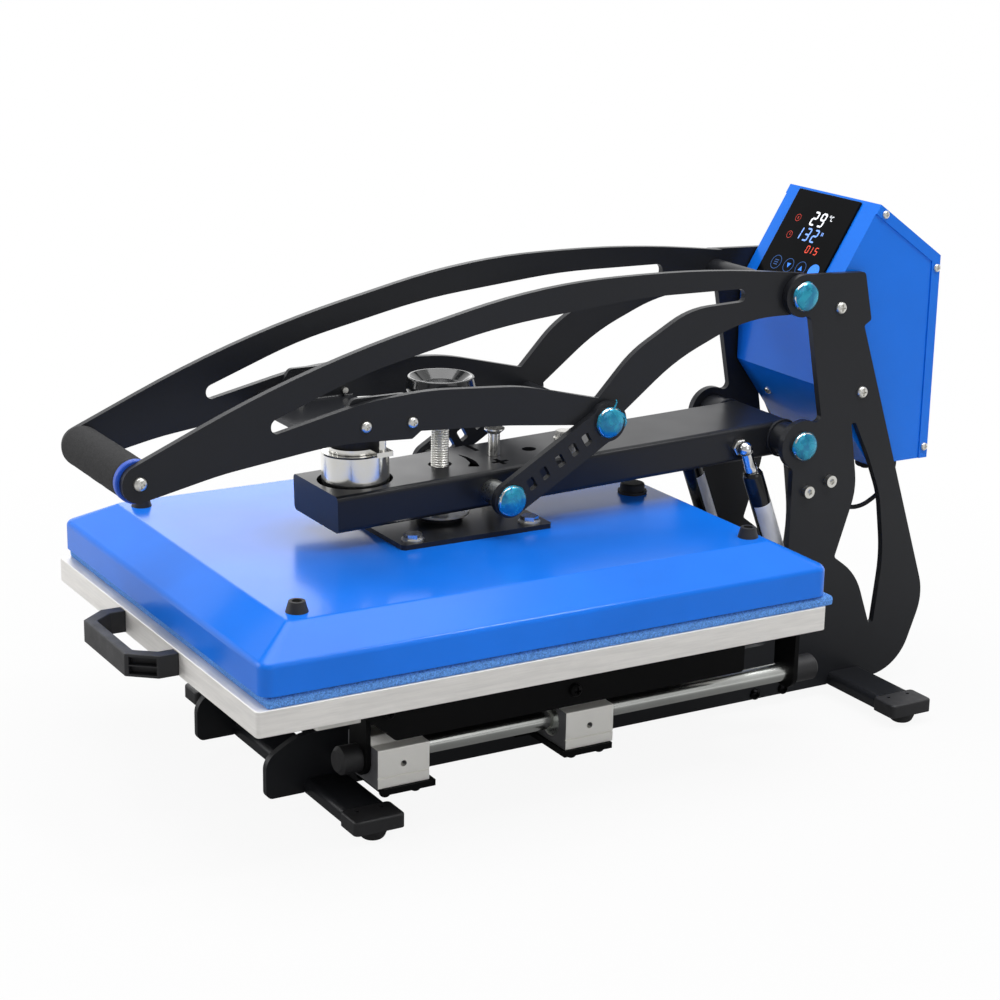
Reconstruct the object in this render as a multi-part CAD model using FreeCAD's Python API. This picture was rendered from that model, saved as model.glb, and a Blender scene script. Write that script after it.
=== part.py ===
import FreeCAD, Part
import math
import os

from FreeCAD import Vector

# Automatic heat press for transfers: a toggle lever presses a heated upper platen on a drawer platen.
# Millimetres. -Y is the front with the grip, +X is the right side and +Z is up. Everything is drawn
# with the origin on the floor under the centre of the lower platen, and each node is moved by MIDDLE_Y
# when it is written, so that the origin ends under the middle of the whole press. It rests closed.

# Middle of the press from front to rear
MIDDLE_Y = 85.55

# Platens
PLATEN_WIDE = 400.0
PLATEN_DEEP = 500.0
LOWER_BOTTOM = 119.0
LOWER_TOP = 139.0
PAD_TOP = 147.5
COVER_RIM = 148.3
COVER_SHOULDER = 171.5
COVER_TOP = 190.0
COVER_MIDDLE = 2.5

# Pivots of the toggle, as (y, z)
LEVER_PIVOT = (310.6, 363.1)
BEAM_PIVOT = (318.2, 233.0)
TOGGLE_UPPER = (120.3, 276.6)
TOGGLE_LOWER = (29.9, 222.7)
PIN_RADIUS = 6.0
PIN_BORE = 6.05

# Layers across the press, as distances from the middle plane
BEAM_HALF = 40.0
SPRING_X = 50.0
LEVER_IN = 58.0
LEVER_OUT = 64.0
PLATE_IN = 64.5
PLATE_OUT = 70.5

# Steel plate base
PLATE_BOTTOM = 9.2
RAIL_TOP = 58.0
UPRIGHT_FRONT = 308.5
FOOT_Y = (-152.5, -115.5)
REAR_FOOT_Y = (359.0, 396.0)
FOOT_BOTTOM = 9.8
FOOT_TOP = 20.6
FOOT_END = 137.4
CAP_END = 164.9

# Drawer slide
ROD_X = 125.0
ROD_Z = 55.5
ROD_RADIUS = 8.0
BLOCK_FRONTS = (-129.0, 37.0)
BLOCK_LONG = 44.0
BLOCK_HALF = 25.0
BLOCK_BOTTOM = 37.0
BLOCK_TOP = 75.0
DRAWER_HALF = 152.0
DRAWER_REAR = 206.0
WEB_SCREWS = [(-122.0, 99.0), (43.0, 88.0)]

# Tilting beam
BEAM_TILT = 1.76
BEAM_FRONT = -426.0
BEAM_REAR = 6.0
BEAM_TALL = 30.0
BEAM_WALL = 3.0
SPINDLE_Y = 4.0
SPINDLE_RADIUS = 7.5
MAGNET_Y = -73.0
MAGNET_RADIUS = 27.1
MAGNET_TOP = 260.0
ARMATURE_THICK = 4.0
BRACKET_FLOOR = 286.0
NUT_RADIUS = 12.0
GUIDE_Y = 54.4

# Gas springs, as (y, z) of their ends
SPRING_TOP = (272.5, 230.5)
SPRING_BOTTOM = (332.0, 75.0)

# Grip
GRIP = (-279.0, 274.0)
GRIP_RADIUS = 16.2

# Control box: profile as (y, z), from the lower front corner round to the rear of its floor
BOX_PROFILE = [
    (342.0, 280.0),
    (342.0, 352.0),
    (392.5, 433.5),
    (461.6, 385.0),
    (461.6, 204.0),
    (398.0, 204.0),
]
BOX_HALF = 62.5
BOX_SHEET = 1.5
COVER_SHEET = 1.2

X_AXIS = Vector(1, 0, 0)
Y_AXIS = Vector(0, 1, 0)
Z_AXIS = Vector(0, 0, 1)


# Helpers

def block(x0, x1, y0, y1, z0, z1):
    """A plain block between two corners."""
    return Part.makeBox(x1 - x0, y1 - y0, z1 - z0, Vector(x0, y0, z0))


def bar(radius, start, end):
    """A round bar from one point to another."""
    start = Vector(*start)
    along = Vector(*end) - start
    return Part.makeCylinder(radius, along.Length, start, along)


def tube(outer, inner, start, end):
    """A round tube from one point to another."""
    return bar(outer, start, end).cut(bar(inner, start, end))


def both_sides(shape):
    """The shape and its mirror image on the other side of the press."""
    return [shape, shape.mirror(Vector(0, 0, 0), X_AXIS)]


def rounded_wire(corners, place):
    """A closed wire of straight runs and tangent arcs. Each corner is (a, b, radius)."""
    count = len(corners)
    starts = []
    ends = []
    for i in range(count):
        before = Vector(*corners[i - 1][:2], 0)
        here = Vector(*corners[i][:2], 0)
        after = Vector(*corners[(i + 1) % count][:2], 0)
        inward = (here - before).normalize()
        outward = (after - here).normalize()
        turn = inward.getAngle(outward)
        reach = corners[i][2] * math.tan(turn / 2)
        starts.append(here - inward * reach)
        ends.append(here + outward * reach)
    edges = []
    for i in range(count):
        here = Vector(*corners[i][:2], 0)
        radius = corners[i][2]
        if radius > 0:
            chord = (starts[i] + ends[i]) * 0.5
            to_centre = (chord - here).normalize()
            half_turn = math.asin(min(1.0, (ends[i] - starts[i]).Length / 2 / radius))
            middle = here + to_centre * (radius / math.cos(half_turn) - radius)
            edges.append(Part.Arc(place(starts[i]), place(middle), place(ends[i])).toShape())
        following = starts[(i + 1) % count]
        if (following - ends[i]).Length > 0.001:
            edges.append(Part.LineSegment(place(ends[i]), place(following)).toShape())
    return Part.Wire(edges)


def side_profile(corners, x0, x1):
    """A side view outline, corners (y, z, radius), made solid from x0 to x1."""
    wire = rounded_wire(corners, lambda p: Vector(x0, p.x, p.y))
    return Part.Face(wire).extrude(Vector(x1 - x0, 0, 0))


def front_profile(corners, y0, y1):
    """A front view outline, corners (x, z, radius), made solid from y0 to y1."""
    wire = rounded_wire(corners, lambda p: Vector(p.x, y0, p.y))
    return Part.Face(wire).extrude(Vector(0, y1 - y0, 0))


def top_profile(corners, z0, z1):
    """A plan outline, corners (x, y, radius), made solid from z0 to z1."""
    wire = rounded_wire(corners, lambda p: Vector(p.x, p.y, z0))
    return Part.Face(wire).extrude(Vector(0, 0, z1 - z0))


def rectangle(x0, x1, y0, y1, radius):
    """Corners of a rounded rectangle."""
    return [(x0, y0, radius), (x1, y0, radius), (x1, y1, radius), (x0, y1, radius)]


def cross_disc(centre, radius, x0, x1):
    """A disc or pin along X about a side view centre (y, z)."""
    return bar(radius, (x0, *centre), (x1, *centre))


def soften(shape, places, radius):
    """Rounds the edges along X that pass the side view places (y, z)."""
    chosen = []
    for edge in shape.Edges:
        ends = [vertex.Point for vertex in edge.Vertexes]
        if len(ends) != 2 or abs(ends[0].x - ends[1].x) < 1:
            continue
        for y, z in places:
            if math.hypot(ends[0].y - y, ends[0].z - z) < 4:
                chosen.append(edge)
    return shape.makeFillet(radius, chosen)


def turned(corners, base, direction):
    """A lathe form. Corners are (radius, height, rounding) and start and end on the axis."""
    face = Part.Face(rounded_wire(corners, lambda p: Vector(p.x, 0, p.y)))
    solid = face.revolve(Vector(0, 0, 0), Z_AXIS, 360)
    if solid.Volume < 0:
        solid.reverse()
    solid.Placement = FreeCAD.Placement(Vector(*base), FreeCAD.Rotation(Z_AXIS, Vector(*direction)))
    return solid


def button_head(radius, height, start, direction):
    """A domed screw head with a cross recess."""
    corners = [(0, 0, 0), (radius, 0, 0), (radius, height, height * 0.85), (0, height, 0)]
    head = turned(corners, (0, 0, 0), (0, 0, 1))
    long = radius * 0.55
    thin = radius * 0.13
    head = head.cut(block(-long, long, -thin, thin, height * 0.45, height + 1))
    head = head.cut(block(-thin, thin, -long, long, height * 0.45, height + 1))
    head.Placement = FreeCAD.Placement(Vector(*start), FreeCAD.Rotation(Z_AXIS, Vector(*direction)))
    return head


def hexagon(across, height, start, direction):
    """A hexagonal prism, measured across its flats."""
    radius = across / math.sqrt(3)
    corners = [Vector(radius * math.cos(math.radians(60 * i)), radius * math.sin(math.radians(60 * i)), 0)
               for i in range(6)]
    prism = Part.Face(Part.makePolygon(corners + corners[:1])).extrude(Vector(0, 0, height))
    prism.Placement = FreeCAD.Placement(Vector(*start), FreeCAD.Rotation(Z_AXIS, Vector(*direction)))
    return prism


def beam_place(shape):
    """Moves a shape drawn about the beam pivot, with the beam level, to its resting tilt."""
    shape = shape.copy()
    shape.rotate(Vector(0, 0, 0), X_AXIS, BEAM_TILT)
    shape.translate(Vector(0, *BEAM_PIVOT))
    return shape


def beam_height(y, z):
    """How high a side view place is above the beam's own axis."""
    tilt = math.radians(BEAM_TILT)
    return (z - BEAM_PIVOT[1]) * math.cos(tilt) - (y - BEAM_PIVOT[0]) * math.sin(tilt)


def save(name, solids):
    """Writes one node, a single solid or a group of separate ones."""
    if not isinstance(solids, list):
        solids = [solids]
    shape = solids[0] if len(solids) == 1 else Part.makeCompound(solids)
    shape = shape.copy()
    shape.translate(Vector(0, -MIDDLE_Y, 0))
    shape.exportStep("parts/" + name + ".step")


# Base

SIDE_PLATE = [
    (-184.9, PLATE_BOTTOM, 6),
    (-184.9, 42.0, 16),
    (-157.0, RAIL_TOP, 45),
    (UPRIGHT_FRONT, RAIL_TOP, 26),
    (UPRIGHT_FRONT, 240.0, 0),
    (338.8, 240.0, 0),
    (315.4, 363.1, 0),
    (310.6, 381.0, 0),
    (374.6, 378.6, 4),
    (383.9, 336.5, 3),
    (376.6, 332.0, 2),
    (463.0, 78.3, 50),
    (437.0, PLATE_BOTTOM, 45),
]
CRESCENT = [
    (368.8, 248.0, 2),
    (378.9, 187.0, 60),
    (359.0, 127.5, 3),
    (384.5, 108.5, 60),
    (402.0, 60.0, 1.5),
    (407.0, 60.0, 1.5),
    (413.8, 122.0, 150),
    (405.5, 178.5, 90),
    (390.5, 214.5, 60),
    (374.0, 246.5, 2),
]
BOX_SCREWS = [(349.8, 349.8), (378.1, 273.7)]
BAR_SCREWS = [(324.5, 191.9), (348.0, 198.5)]
PAN_BOLTS = [(280.0, 14.0), (310.0, 14.0)]
SHELF_FRONTS = (-125.0, 35.0)
STUD_END = PLATE_IN + 3.5
STOP_IN = 58.5


def side_plate():
    """A laser-cut plate: front fin, low rail and tall upright with both pivots."""
    plate = side_profile(SIDE_PLATE, PLATE_IN, PLATE_OUT)
    plate = plate.fuse(cross_disc(LEVER_PIVOT, 18.0, PLATE_IN, PLATE_OUT))
    plate = plate.fuse(cross_disc(BEAM_PIVOT, 22.0, PLATE_IN, PLATE_OUT)).removeSplitter()
    plate = soften(plate, [(UPRIGHT_FRONT, 213.0), (337.5, 245.0), (318.4, 347.0)], 5.0)
    plate = plate.cut(side_profile(CRESCENT, PLATE_IN - 1, PLATE_OUT + 1))
    for centre in (LEVER_PIVOT, BEAM_PIVOT):
        plate = plate.cut(cross_disc(centre, PIN_RADIUS, PLATE_IN - 1, PLATE_OUT + 1))
    for centre in BOX_SCREWS + PAN_BOLTS:
        plate = plate.cut(cross_disc(centre, 2.5, PLATE_IN - 1, PLATE_OUT + 1))
    for centre in BAR_SCREWS:
        plate = plate.cut(cross_disc(centre, 4.0, PLATE_IN - 1, PLATE_OUT + 1))
    plate = plate.cut(cross_disc(SPRING_BOTTOM, 4.0, PLATE_IN - 1, STUD_END))
    for y0, y1 in (FOOT_Y, REAR_FOOT_Y):
        plate = plate.cut(foot_section(y0, y1, 60.0, 80.0, 0.0))
    return plate


def foot_section(y0, y1, x0, x1, wall):
    """A length of foot bar with rounded upper edges, a channel where wall is given."""
    outer = [(y0, FOOT_BOTTOM - 5, 0), (y0, FOOT_TOP, 5), (y1, FOOT_TOP, 5), (y1, FOOT_BOTTOM - 5, 0)]
    if wall == 0:
        return side_profile(outer, x0, x1)
    outer = [(y0, FOOT_BOTTOM, 0), (y0, FOOT_TOP, 5), (y1, FOOT_TOP, 5), (y1, FOOT_BOTTOM, 0)]
    inner = [(y0 + wall, FOOT_BOTTOM - 5, 0), (y0 + wall, FOOT_TOP - wall, 2),
             (y1 - wall, FOOT_TOP - wall, 2), (y1 - wall, FOOT_BOTTOM - 5, 0)]
    return side_profile(outer, x0, x1).cut(side_profile(inner, x0 - 1, x1 + 1))


def foot_bar(y0, y1):
    """A pressed steel channel that carries both side plates."""
    return foot_section(y0, y1, -FOOT_END, FOOT_END, 3.0)


def foot_cap(y0, y1):
    """A moulded end cap with a plug that fills the end of the channel, and two screw holes."""
    y0 -= 2.8
    y1 += 2.8
    cap = top_profile(rectangle(FOOT_END, CAP_END, y0, y1, 4.0), FOOT_BOTTOM - 0.2, FOOT_TOP + 0.4)
    upper = [e for e in cap.Edges if e.BoundBox.ZMin > FOOT_TOP and e.CenterOfMass.x > FOOT_END + 1]
    cap = cap.makeFillet(1.8, upper)
    plug = block(FOOT_END - 14, FOOT_END, y0 + 8.0, y1 - 8.0, FOOT_BOTTOM, FOOT_TOP - 3.2)
    cap = cap.fuse(plug)
    for y in (y0 + 11, y1 - 11):
        cap = cap.cut(bar(1.6, (FOOT_END + 8, y, FOOT_TOP - 5), (FOOT_END + 8, y, FOOT_TOP + 1)))
    return cap


def rubber_foot(y0, y1):
    """A domed rubber foot under an end cap."""
    top = FOOT_BOTTOM - 0.2
    corners = [(0, 0, 0), (8.5, 0, 5), (11.0, 6.0, 2), (11.0, top, 0), (0, top, 0)]
    return turned(corners, ((FOOT_END + CAP_END) / 2, (y0 + y1) / 2, 0), (0, 0, 1))


def base_pan():
    """A folded pan between the side plates, its flanges bolted to them."""
    y0 = FOOT_Y[1] + 4
    y1 = REAR_FOOT_Y[0] - 4
    bottom = PLATE_BOTTOM + 0.3
    half = PLATE_IN
    outer = [(-half, bottom, 0), (-half, 23.0, 3), (half, 23.0, 3), (half, bottom, 0)]
    half = PLATE_IN - 3
    inner = [(-half, 5.0, 0), (-half, 20.0, 1), (half, 20.0, 1), (half, 5.0, 0)]
    pan = front_profile(outer, y0, y1).cut(front_profile(inner, y0 - 1, y1 + 1))
    for y, z in PAN_BOLTS:
        pan = pan.cut(bar(2.5, (-80, y, z), (80, y, z)))
    return pan


def pan_bolts():
    """Button head bolts through the side plates into the pan."""
    bolts = []
    for y, z in PAN_BOLTS:
        head = button_head(5.0, 4.0, (PLATE_OUT, y, z), (1, 0, 0))
        bolts += both_sides(head.fuse(bar(2.5, (61, y, z), (PLATE_OUT, y, z))))
    return bolts


def stop_plate(with_clip):
    """A plate inside an upright that the open beam rests on, with a clip for the sensor lead on one."""
    (y0, z0), (y1, z1) = BAR_SCREWS
    tilt = math.degrees(math.atan2(z1 - z0, y1 - y0))
    plate = block(STOP_IN, PLATE_IN, -18, 18, -6, 6)
    if with_clip:
        plate = plate.fuse(block(30, STOP_IN, 4, 18, -6, 6)).removeSplitter()
        plate = plate.cut(bar(2.2, (40, 9, -8), (40, 9, 0)))
    plate.rotate(Vector(0, 0, 0), X_AXIS, tilt)
    plate.translate(Vector(0, (y0 + y1) / 2, (z0 + z1) / 2))
    for y, z in BAR_SCREWS:
        plate = plate.cut(bar(4.0, (STOP_IN, y, z), (PLATE_IN + 1, y, z)))
    return plate


def stop_plate_screws():
    """Socket head screws that hold the stop plates inside the uprights."""
    screws = []
    for y, z in BAR_SCREWS:
        head = bar(5.2, (PLATE_OUT, y, z), (PLATE_OUT + 4.5, y, z))
        head = head.cut(hexagon(5.0, 4.0, (PLATE_OUT + 1.0, y, z), (1, 0, 0)))
        shank = bar(4.0, (STOP_IN, y, z), (PLATE_OUT, y, z))
        screws += both_sides(head.fuse(shank))
    return screws


def bearing_shelf(y0):
    """An angle welded to a side plate, with the bearing block on its leaf."""
    y1 = y0 + BLOCK_LONG + 0.5
    corners = [(PLATE_OUT, 21.5, 0), (PLATE_OUT, 37.0, 0), (152.0, 37.0, 0), (152.0, 32.0, 0),
               (PLATE_OUT + 5, 32.0, 4), (PLATE_OUT + 5, 21.5, 0)]
    return front_profile(corners, y0, y1)


def shelf_screw_places(y0):
    """Where the four bolts of a bearing block stand, as (x, y)."""
    middle = y0 + BLOCK_LONG / 2
    return [(ROD_X + sx * 19, middle + sy * 13) for sx in (-1, 1) for sy in (-1, 1)]


def bearing_block(y0):
    """A cast linear bearing block with shoulders, side grooves and a grease hole."""
    half = BLOCK_HALF
    corners = [
        (ROD_X - half, BLOCK_BOTTOM, 0.8), (ROD_X - half, 45.0, 0), (ROD_X - half + 1.2, 45.6, 0),
        (ROD_X - half, 46.2, 0), (ROD_X - half, 68.3, 1),
        (ROD_X - 14, 68.3, 1.5), (ROD_X - 10, BLOCK_TOP, 2),
        (ROD_X + 10, BLOCK_TOP, 2), (ROD_X + 14, 68.3, 1.5),
        (ROD_X + half, 68.3, 1), (ROD_X + half, 46.2, 0),
        (ROD_X + half - 1.2, 45.6, 0), (ROD_X + half, 45.0, 0), (ROD_X + half, BLOCK_BOTTOM, 0.8),
    ]
    body = front_profile(corners, y0, y0 + BLOCK_LONG)
    middle = y0 + BLOCK_LONG / 2
    body = body.cut(bar(14.0, (ROD_X, y0 - 1, ROD_Z), (ROD_X, y0 + BLOCK_LONG + 1, ROD_Z)))
    body = body.cut(bar(2.5, (ROD_X + half - 8, middle, ROD_Z - 1), (ROD_X + half + 1, middle, ROD_Z - 1)))
    for x, y in shelf_screw_places(y0):
        body = body.cut(bar(2.5, (x, y, BLOCK_BOTTOM - 1), (x, y, BLOCK_BOTTOM + 12)))
    return body


def shelf_with_holes(y0, block_y0):
    """The shelf, drilled for the bolts of its block."""
    shelf = bearing_shelf(y0)
    for x, y in shelf_screw_places(block_y0):
        shelf = shelf.cut(bar(2.5, (x, y, 20), (x, y, 40)))
    return shelf


def linear_bush(y0):
    """A ball bush with a stepped seal ring at each end."""
    bush = tube(14.0, ROD_RADIUS + 0.05, (ROD_X, y0 + 1.5, ROD_Z), (ROD_X, y0 + BLOCK_LONG - 1.5, ROD_Z))
    for y in (y0 + 4.0, y0 + BLOCK_LONG - 4.6):
        bush = bush.cut(tube(15.0, 13.3, (ROD_X, y, ROD_Z), (ROD_X, y + 0.6, ROD_Z)))
    return bush


def block_bolts(y0):
    """The four bolts under one bearing block."""
    bolts = []
    for x, y in shelf_screw_places(y0):
        head = button_head(4.6, 4.5, (x, y, 32.0), (0, 0, -1))
        bolts.append(head.fuse(bar(2.5, (x, y, 32.0), (x, y, BLOCK_BOTTOM + 11))))
    return bolts


# Pivots on the base

def pivot_shaft(centre):
    """A pivot shaft held in both uprights."""
    return cross_disc(centre, PIN_RADIUS, -PLATE_OUT, PLATE_OUT)


def domed_cap(centre):
    """A round cap with a domed face, over the end of a pivot."""
    corners = [(0, 0, 0), (12.5, 0, 0), (12.5, 5.0, 2.5), (5.0, 6.6, 8), (0, 6.6, 0)]
    return turned(corners, (PLATE_OUT, *centre), (1, 0, 0))


def spring_lower_stud():
    """A shouldered stud on the inner face of a side plate."""
    y, z = SPRING_BOTTOM
    stud = bar(4.0, (SPRING_X - 6.0, y, z), (STUD_END, y, z))
    stud = stud.fuse(bar(6.5, (SPRING_X + 4.2, y, z), (PLATE_IN, y, z)))
    return stud.fuse(button_head(6.0, 2.5, (SPRING_X - 4.2, y, z), (-1, 0, 0)))


# Control box

def moved_edges(points, distances):
    """A polygon with each edge moved inwards by its own distance, or outwards where that is negative."""
    count = len(points)
    lines = []
    for i in range(count):
        a = Vector(*points[i], 0)
        b = Vector(*points[(i + 1) % count], 0)
        along = (b - a).normalize()
        inward = Vector(along.y, -along.x, 0)
        lines.append((a + inward * distances[i], along))
    corners = []
    for i in range(count):
        p, u = lines[i - 1]
        q, v = lines[i]
        across = u.x * v.y - u.y * v.x
        reach = ((q.x - p.x) * v.y - (q.y - p.y) * v.x) / across
        corner = p + u * reach
        corners.append((corner.x, corner.y, 0))
    return corners


def box_prism(distances, half):
    """The control box profile with its edges moved, from -half to half across the press."""
    return side_profile(moved_edges(BOX_PROFILE, distances), -half, half)


# Edges of the profile in order: lower front, display slope, roof, rear, floor, lower slope
ROOF = 2
REAR = 3


def box_edges(front, roof):
    """Distances for the profile's six edges: one for roof and rear, one for the others."""
    return [roof if i in (ROOF, REAR) else front for i in range(6)]


def display_frame():
    """Places a shape drawn about the middle of the display slope, with Z out of the slope."""
    (y0, z0), (y1, z1) = BOX_PROFILE[1:3]
    slope = math.degrees(math.atan2(z1 - z0, y1 - y0))
    middle = Vector(0, (y0 + y1) / 2, (z0 + z1) / 2)
    return FreeCAD.Placement(middle, FreeCAD.Rotation(X_AXIS, slope))


def on_display(shape):
    """Moves a shape to the display slope."""
    shape = shape.copy()
    shape.Placement = display_frame().multiply(shape.Placement)
    return shape


INLET = (0.0, 240.0)
ROCKER = (0.0, 292.0)
REAR_FACE = BOX_PROFILE[3][0]
GLAND = (40.0, 412.0)
GROMMET = (40.0, 445.0)
RIVETS = [(397.6, 424.6), (458.0, 374.2), (457.6, 214.1)]
SLOPE_SCREW = (41.0, 362.0, 252.857)
SLOPE_OUT = (0.0, BOX_PROFILE[5][1] - BOX_PROFILE[0][1], BOX_PROFILE[0][0] - BOX_PROFILE[5][0])


def control_box_body():
    """The folded lower part of the box: both sides, the front and the floor."""
    body = box_prism(box_edges(0.0, COVER_SHEET), BOX_HALF)
    body = body.cut(box_prism(box_edges(BOX_SHEET, -3.0), BOX_HALF - BOX_SHEET))
    body = body.cut(on_display(block(-39, 39, -34, 36, -5, 5)))
    for y, z in BOX_SCREWS:
        body = body.cut(bar(2.5, (-70, y, z), (70, y, z)))
    for y, z in RIVETS:
        body = body.cut(bar(1.5, (-70, y, z), (70, y, z)))
    for shank in slope_shanks():
        body = body.cut(shank)
    body = body.cut(bar(7.0, (*GLAND, 200), (*GLAND, 210)))
    return body.cut(bar(4.0, (*GROMMET, 200), (*GROMMET, 210)))


def slope_shanks():
    """The shanks of the two screws in the lower slope of the box."""
    inwards = Vector(*SLOPE_OUT).normalize() * -6.0
    place = Vector(*SLOPE_SCREW)
    return both_sides(bar(1.5, tuple(place), tuple(place + inwards)))


def slope_screws():
    """Two small screws in the lower slope of the box."""
    heads = both_sides(button_head(3.6, 2.0, SLOPE_SCREW, SLOPE_OUT))
    return [head.fuse(shank) for head, shank in zip(heads, slope_shanks())]


def control_box_cover():
    """The roof and rear of the box, with narrow lips over its sides."""
    lip = 9.0
    outside = BOX_HALF + COVER_SHEET
    whole = box_prism(box_edges(0.0, 0.0), outside)
    sides = whole.cut(box_prism(box_edges(-5.0, lip), outside + 1))
    sheet = whole.cut(box_prism(box_edges(-5.0, COVER_SHEET), outside + 1))
    cover = sides.fuse(sheet)
    cover = cover.cut(box_prism(box_edges(-5.0, COVER_SHEET), BOX_HALF)).removeSplitter()
    x, z = INLET
    cover = cover.cut(block(x - 14, x + 14, REAR_FACE - 5, REAR_FACE + 5, z - 10.5, z + 10.5))
    x, z = ROCKER
    cover = cover.cut(block(x - 10, x + 10, REAR_FACE - 5, REAR_FACE + 5, z - 14, z + 14))
    for y, z in RIVETS:
        cover = cover.cut(bar(1.5, (-70, y, z), (70, y, z)))
    return cover


def box_mount_screws():
    """Screws through the uprights and spacers into the sides of the box."""
    screws = []
    for y, z in BOX_SCREWS:
        head = button_head(5.3, 3.2, (PLATE_OUT, y, z), (1, 0, 0))
        screws += both_sides(head.fuse(bar(2.5, (58, y, z), (PLATE_OUT, y, z))))
    return screws


def box_spacers():
    """Washers that keep the box off the uprights."""
    washers = []
    for y, z in BOX_SCREWS:
        washers += both_sides(tube(6.0, 2.5, (BOX_HALF, y, z), (PLATE_IN, y, z)))
    return washers


def cover_screws():
    """Small screws at the lips of the cover."""
    screws = []
    outside = BOX_HALF + COVER_SHEET
    for y, z in RIVETS:
        head = button_head(3.6, 2.0, (outside, y, z), (1, 0, 0))
        screws += both_sides(head.fuse(bar(1.5, (60, y, z), (outside, y, z))))
    return screws


def display_panel():
    """The dark glass on the sloped front."""
    glass = top_profile(rectangle(-46.0, 40.0, -41.0, 45.5, 1.2), 0.0, 2.0)
    glass = glass.makeFillet(0.6, [e for e in glass.Edges if e.BoundBox.ZMin > 1.9])
    return on_display(glass)


def control_board():
    """The circuit board behind the glass, with its number display and touch strip."""
    board = block(-43, 43, -38, 40, -8.0, -6.4)
    display = block(-30, 26, -8, 30, -6.4, -0.4)
    strip = block(-32, 26, -30, -18, -6.4, -0.4)
    terminals = block(-20, 20, 26, 36, -19, -8.0)
    return on_display(board.fuse([display, strip, terminals]))


def heater_relay():
    """The solid state relay that switches the heating element, on the floor of the box."""
    relay = block(-30, 28, 405, 450, 206.0, 229.0)
    relay = relay.cut(block(-30, -14, 413, 442, 218, 230)).cut(block(12, 28, 413, 442, 218, 230))
    for y in (420, 435):
        for x in (-22, 20):
            relay = relay.fuse(bar(3.0, (x, y, 217.5), (x, y, 221)))
    return relay


def power_inlet():
    """The three-pin mains inlet in the rear of the box."""
    x, z = INLET
    flange = top_profile(rectangle(x - 25, x + 25, z - 13, z + 13, 4.0), 0, 2.4)
    body = block(x - 13.8, x + 13.8, z - 10.3, z + 10.3, -24, 0)
    inlet = flange.fuse(body)
    recess = top_profile([(x - 12, z - 8.2, 1), (x + 12, z - 8.2, 1), (x + 12, z + 4, 1),
                          (x + 8, z + 8.2, 1), (x - 8, z + 8.2, 1), (x - 12, z + 4, 1)], -17, 3)
    inlet = inlet.cut(recess)
    for side in (-20, 20):
        inlet = inlet.cut(bar(1.8, (x + side, z, -1), (x + side, z, 3)))
    return to_rear(inlet)


def inlet_pins():
    """The three flat pins inside the inlet."""
    x, z = INLET
    return [to_rear(block(x + px - 1, x + px + 1, z + pz - 2, z + pz + 2, -17, -3))
            for px, pz in ((-7, -1.5), (0, 2.5), (7, -1.5))]


def to_rear(shape):
    """Turns a shape drawn flat, x across and y up, onto the rear face of the box."""
    shape = shape.copy()
    shape.rotate(Vector(0, 0, 0), X_AXIS, 90)
    shape = shape.mirror(Vector(0, 0, 0), Y_AXIS)
    shape.translate(Vector(0, REAR_FACE, 0))
    return shape


ROCKER_AXIS_Y = REAR_FACE - 4.0
ROCKER_ARC = 12.2


def rocker_bezel():
    """The frame and case of the power switch, open at the rear for its rocker."""
    x, z = ROCKER
    case = block(x - 9.8, x + 9.8, REAR_FACE - 20, REAR_FACE, z - 13.8, z + 13.8)
    frame = block(x - 10.8, x + 10.8, REAR_FACE, REAR_FACE + 1.6, z - 15.2, z + 15.2)
    frame = frame.makeFillet(0.7, [e for e in frame.Edges if e.BoundBox.YMin > REAR_FACE + 1])
    bezel = case.fuse(frame)
    reach = ROCKER_ARC + 0.4
    pocket = cross_disc((ROCKER_AXIS_Y, z), reach, x - 7.6, x + 7.6)
    pocket = pocket.fuse(block(x - 7.6, x + 7.6, ROCKER_AXIS_Y, REAR_FACE + 3, z - reach, z + reach))
    bezel = bezel.cut(pocket)
    return bezel.cut(bar(1.5, (x - 9.0, ROCKER_AXIS_Y, z), (x + 9.0, ROCKER_AXIS_Y, z)))


def power_rocker():
    """The rocker, with its two faces meeting in a shallow vee, resting on one side."""
    x, z = ROCKER
    rocker = cross_disc((ROCKER_AXIS_Y, z), ROCKER_ARC, x - 7.1, x + 7.1)
    rocker = rocker.common(block(x - 8, x + 8, ROCKER_AXIS_Y - 5, ROCKER_AXIS_Y + 20, z - 14, z + 14))
    centre = Vector(x, ROCKER_AXIS_Y + 5.6, z)
    for side in (1, -1):
        half = block(-9, 9, 0, 20, min(0, 16 * side), max(0, 16 * side))
        half.rotate(Vector(0, 0, 0), X_AXIS, -10 * side)
        half.translate(centre)
        rocker = rocker.cut(half)
    rocker = rocker.fuse(bar(1.45, (x - 8.9, ROCKER_AXIS_Y, z), (x + 8.9, ROCKER_AXIS_Y, z)))
    rocker.rotate(Vector(x, ROCKER_AXIS_Y, z), X_AXIS, 10)
    return rocker


def cable_gland():
    """A rubber gland under the box, with its nut inside, and a grommet for the lead."""
    x, y = GLAND
    gland = bar(9.0, (x, y, 196.5), (x, y, 204.0))
    gland = gland.makeFillet(3.0, [e for e in gland.Edges if e.BoundBox.ZMax < 197])
    gland = gland.fuse(bar(7.0, (x, y, 204.0), (x, y, 212.0)))
    gland = gland.cut(bar(3.5, (x, y, 196.0), (x, y, 213.0)))
    gland = gland.fuse(bar(3.5, (x, y, 195.0), (x, y, 213.0)))
    x, y = GROMMET
    grommet = tube(5.5, 2.0, (x, y, 201.8), (x, y, 204.0))
    grommet = grommet.fuse(tube(4.0, 2.0, (x, y, 204.0), (x, y, 205.5)))
    return [gland, grommet.fuse(tube(5.0, 2.0, (x, y, 205.5), (x, y, 207.5)))]


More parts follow.
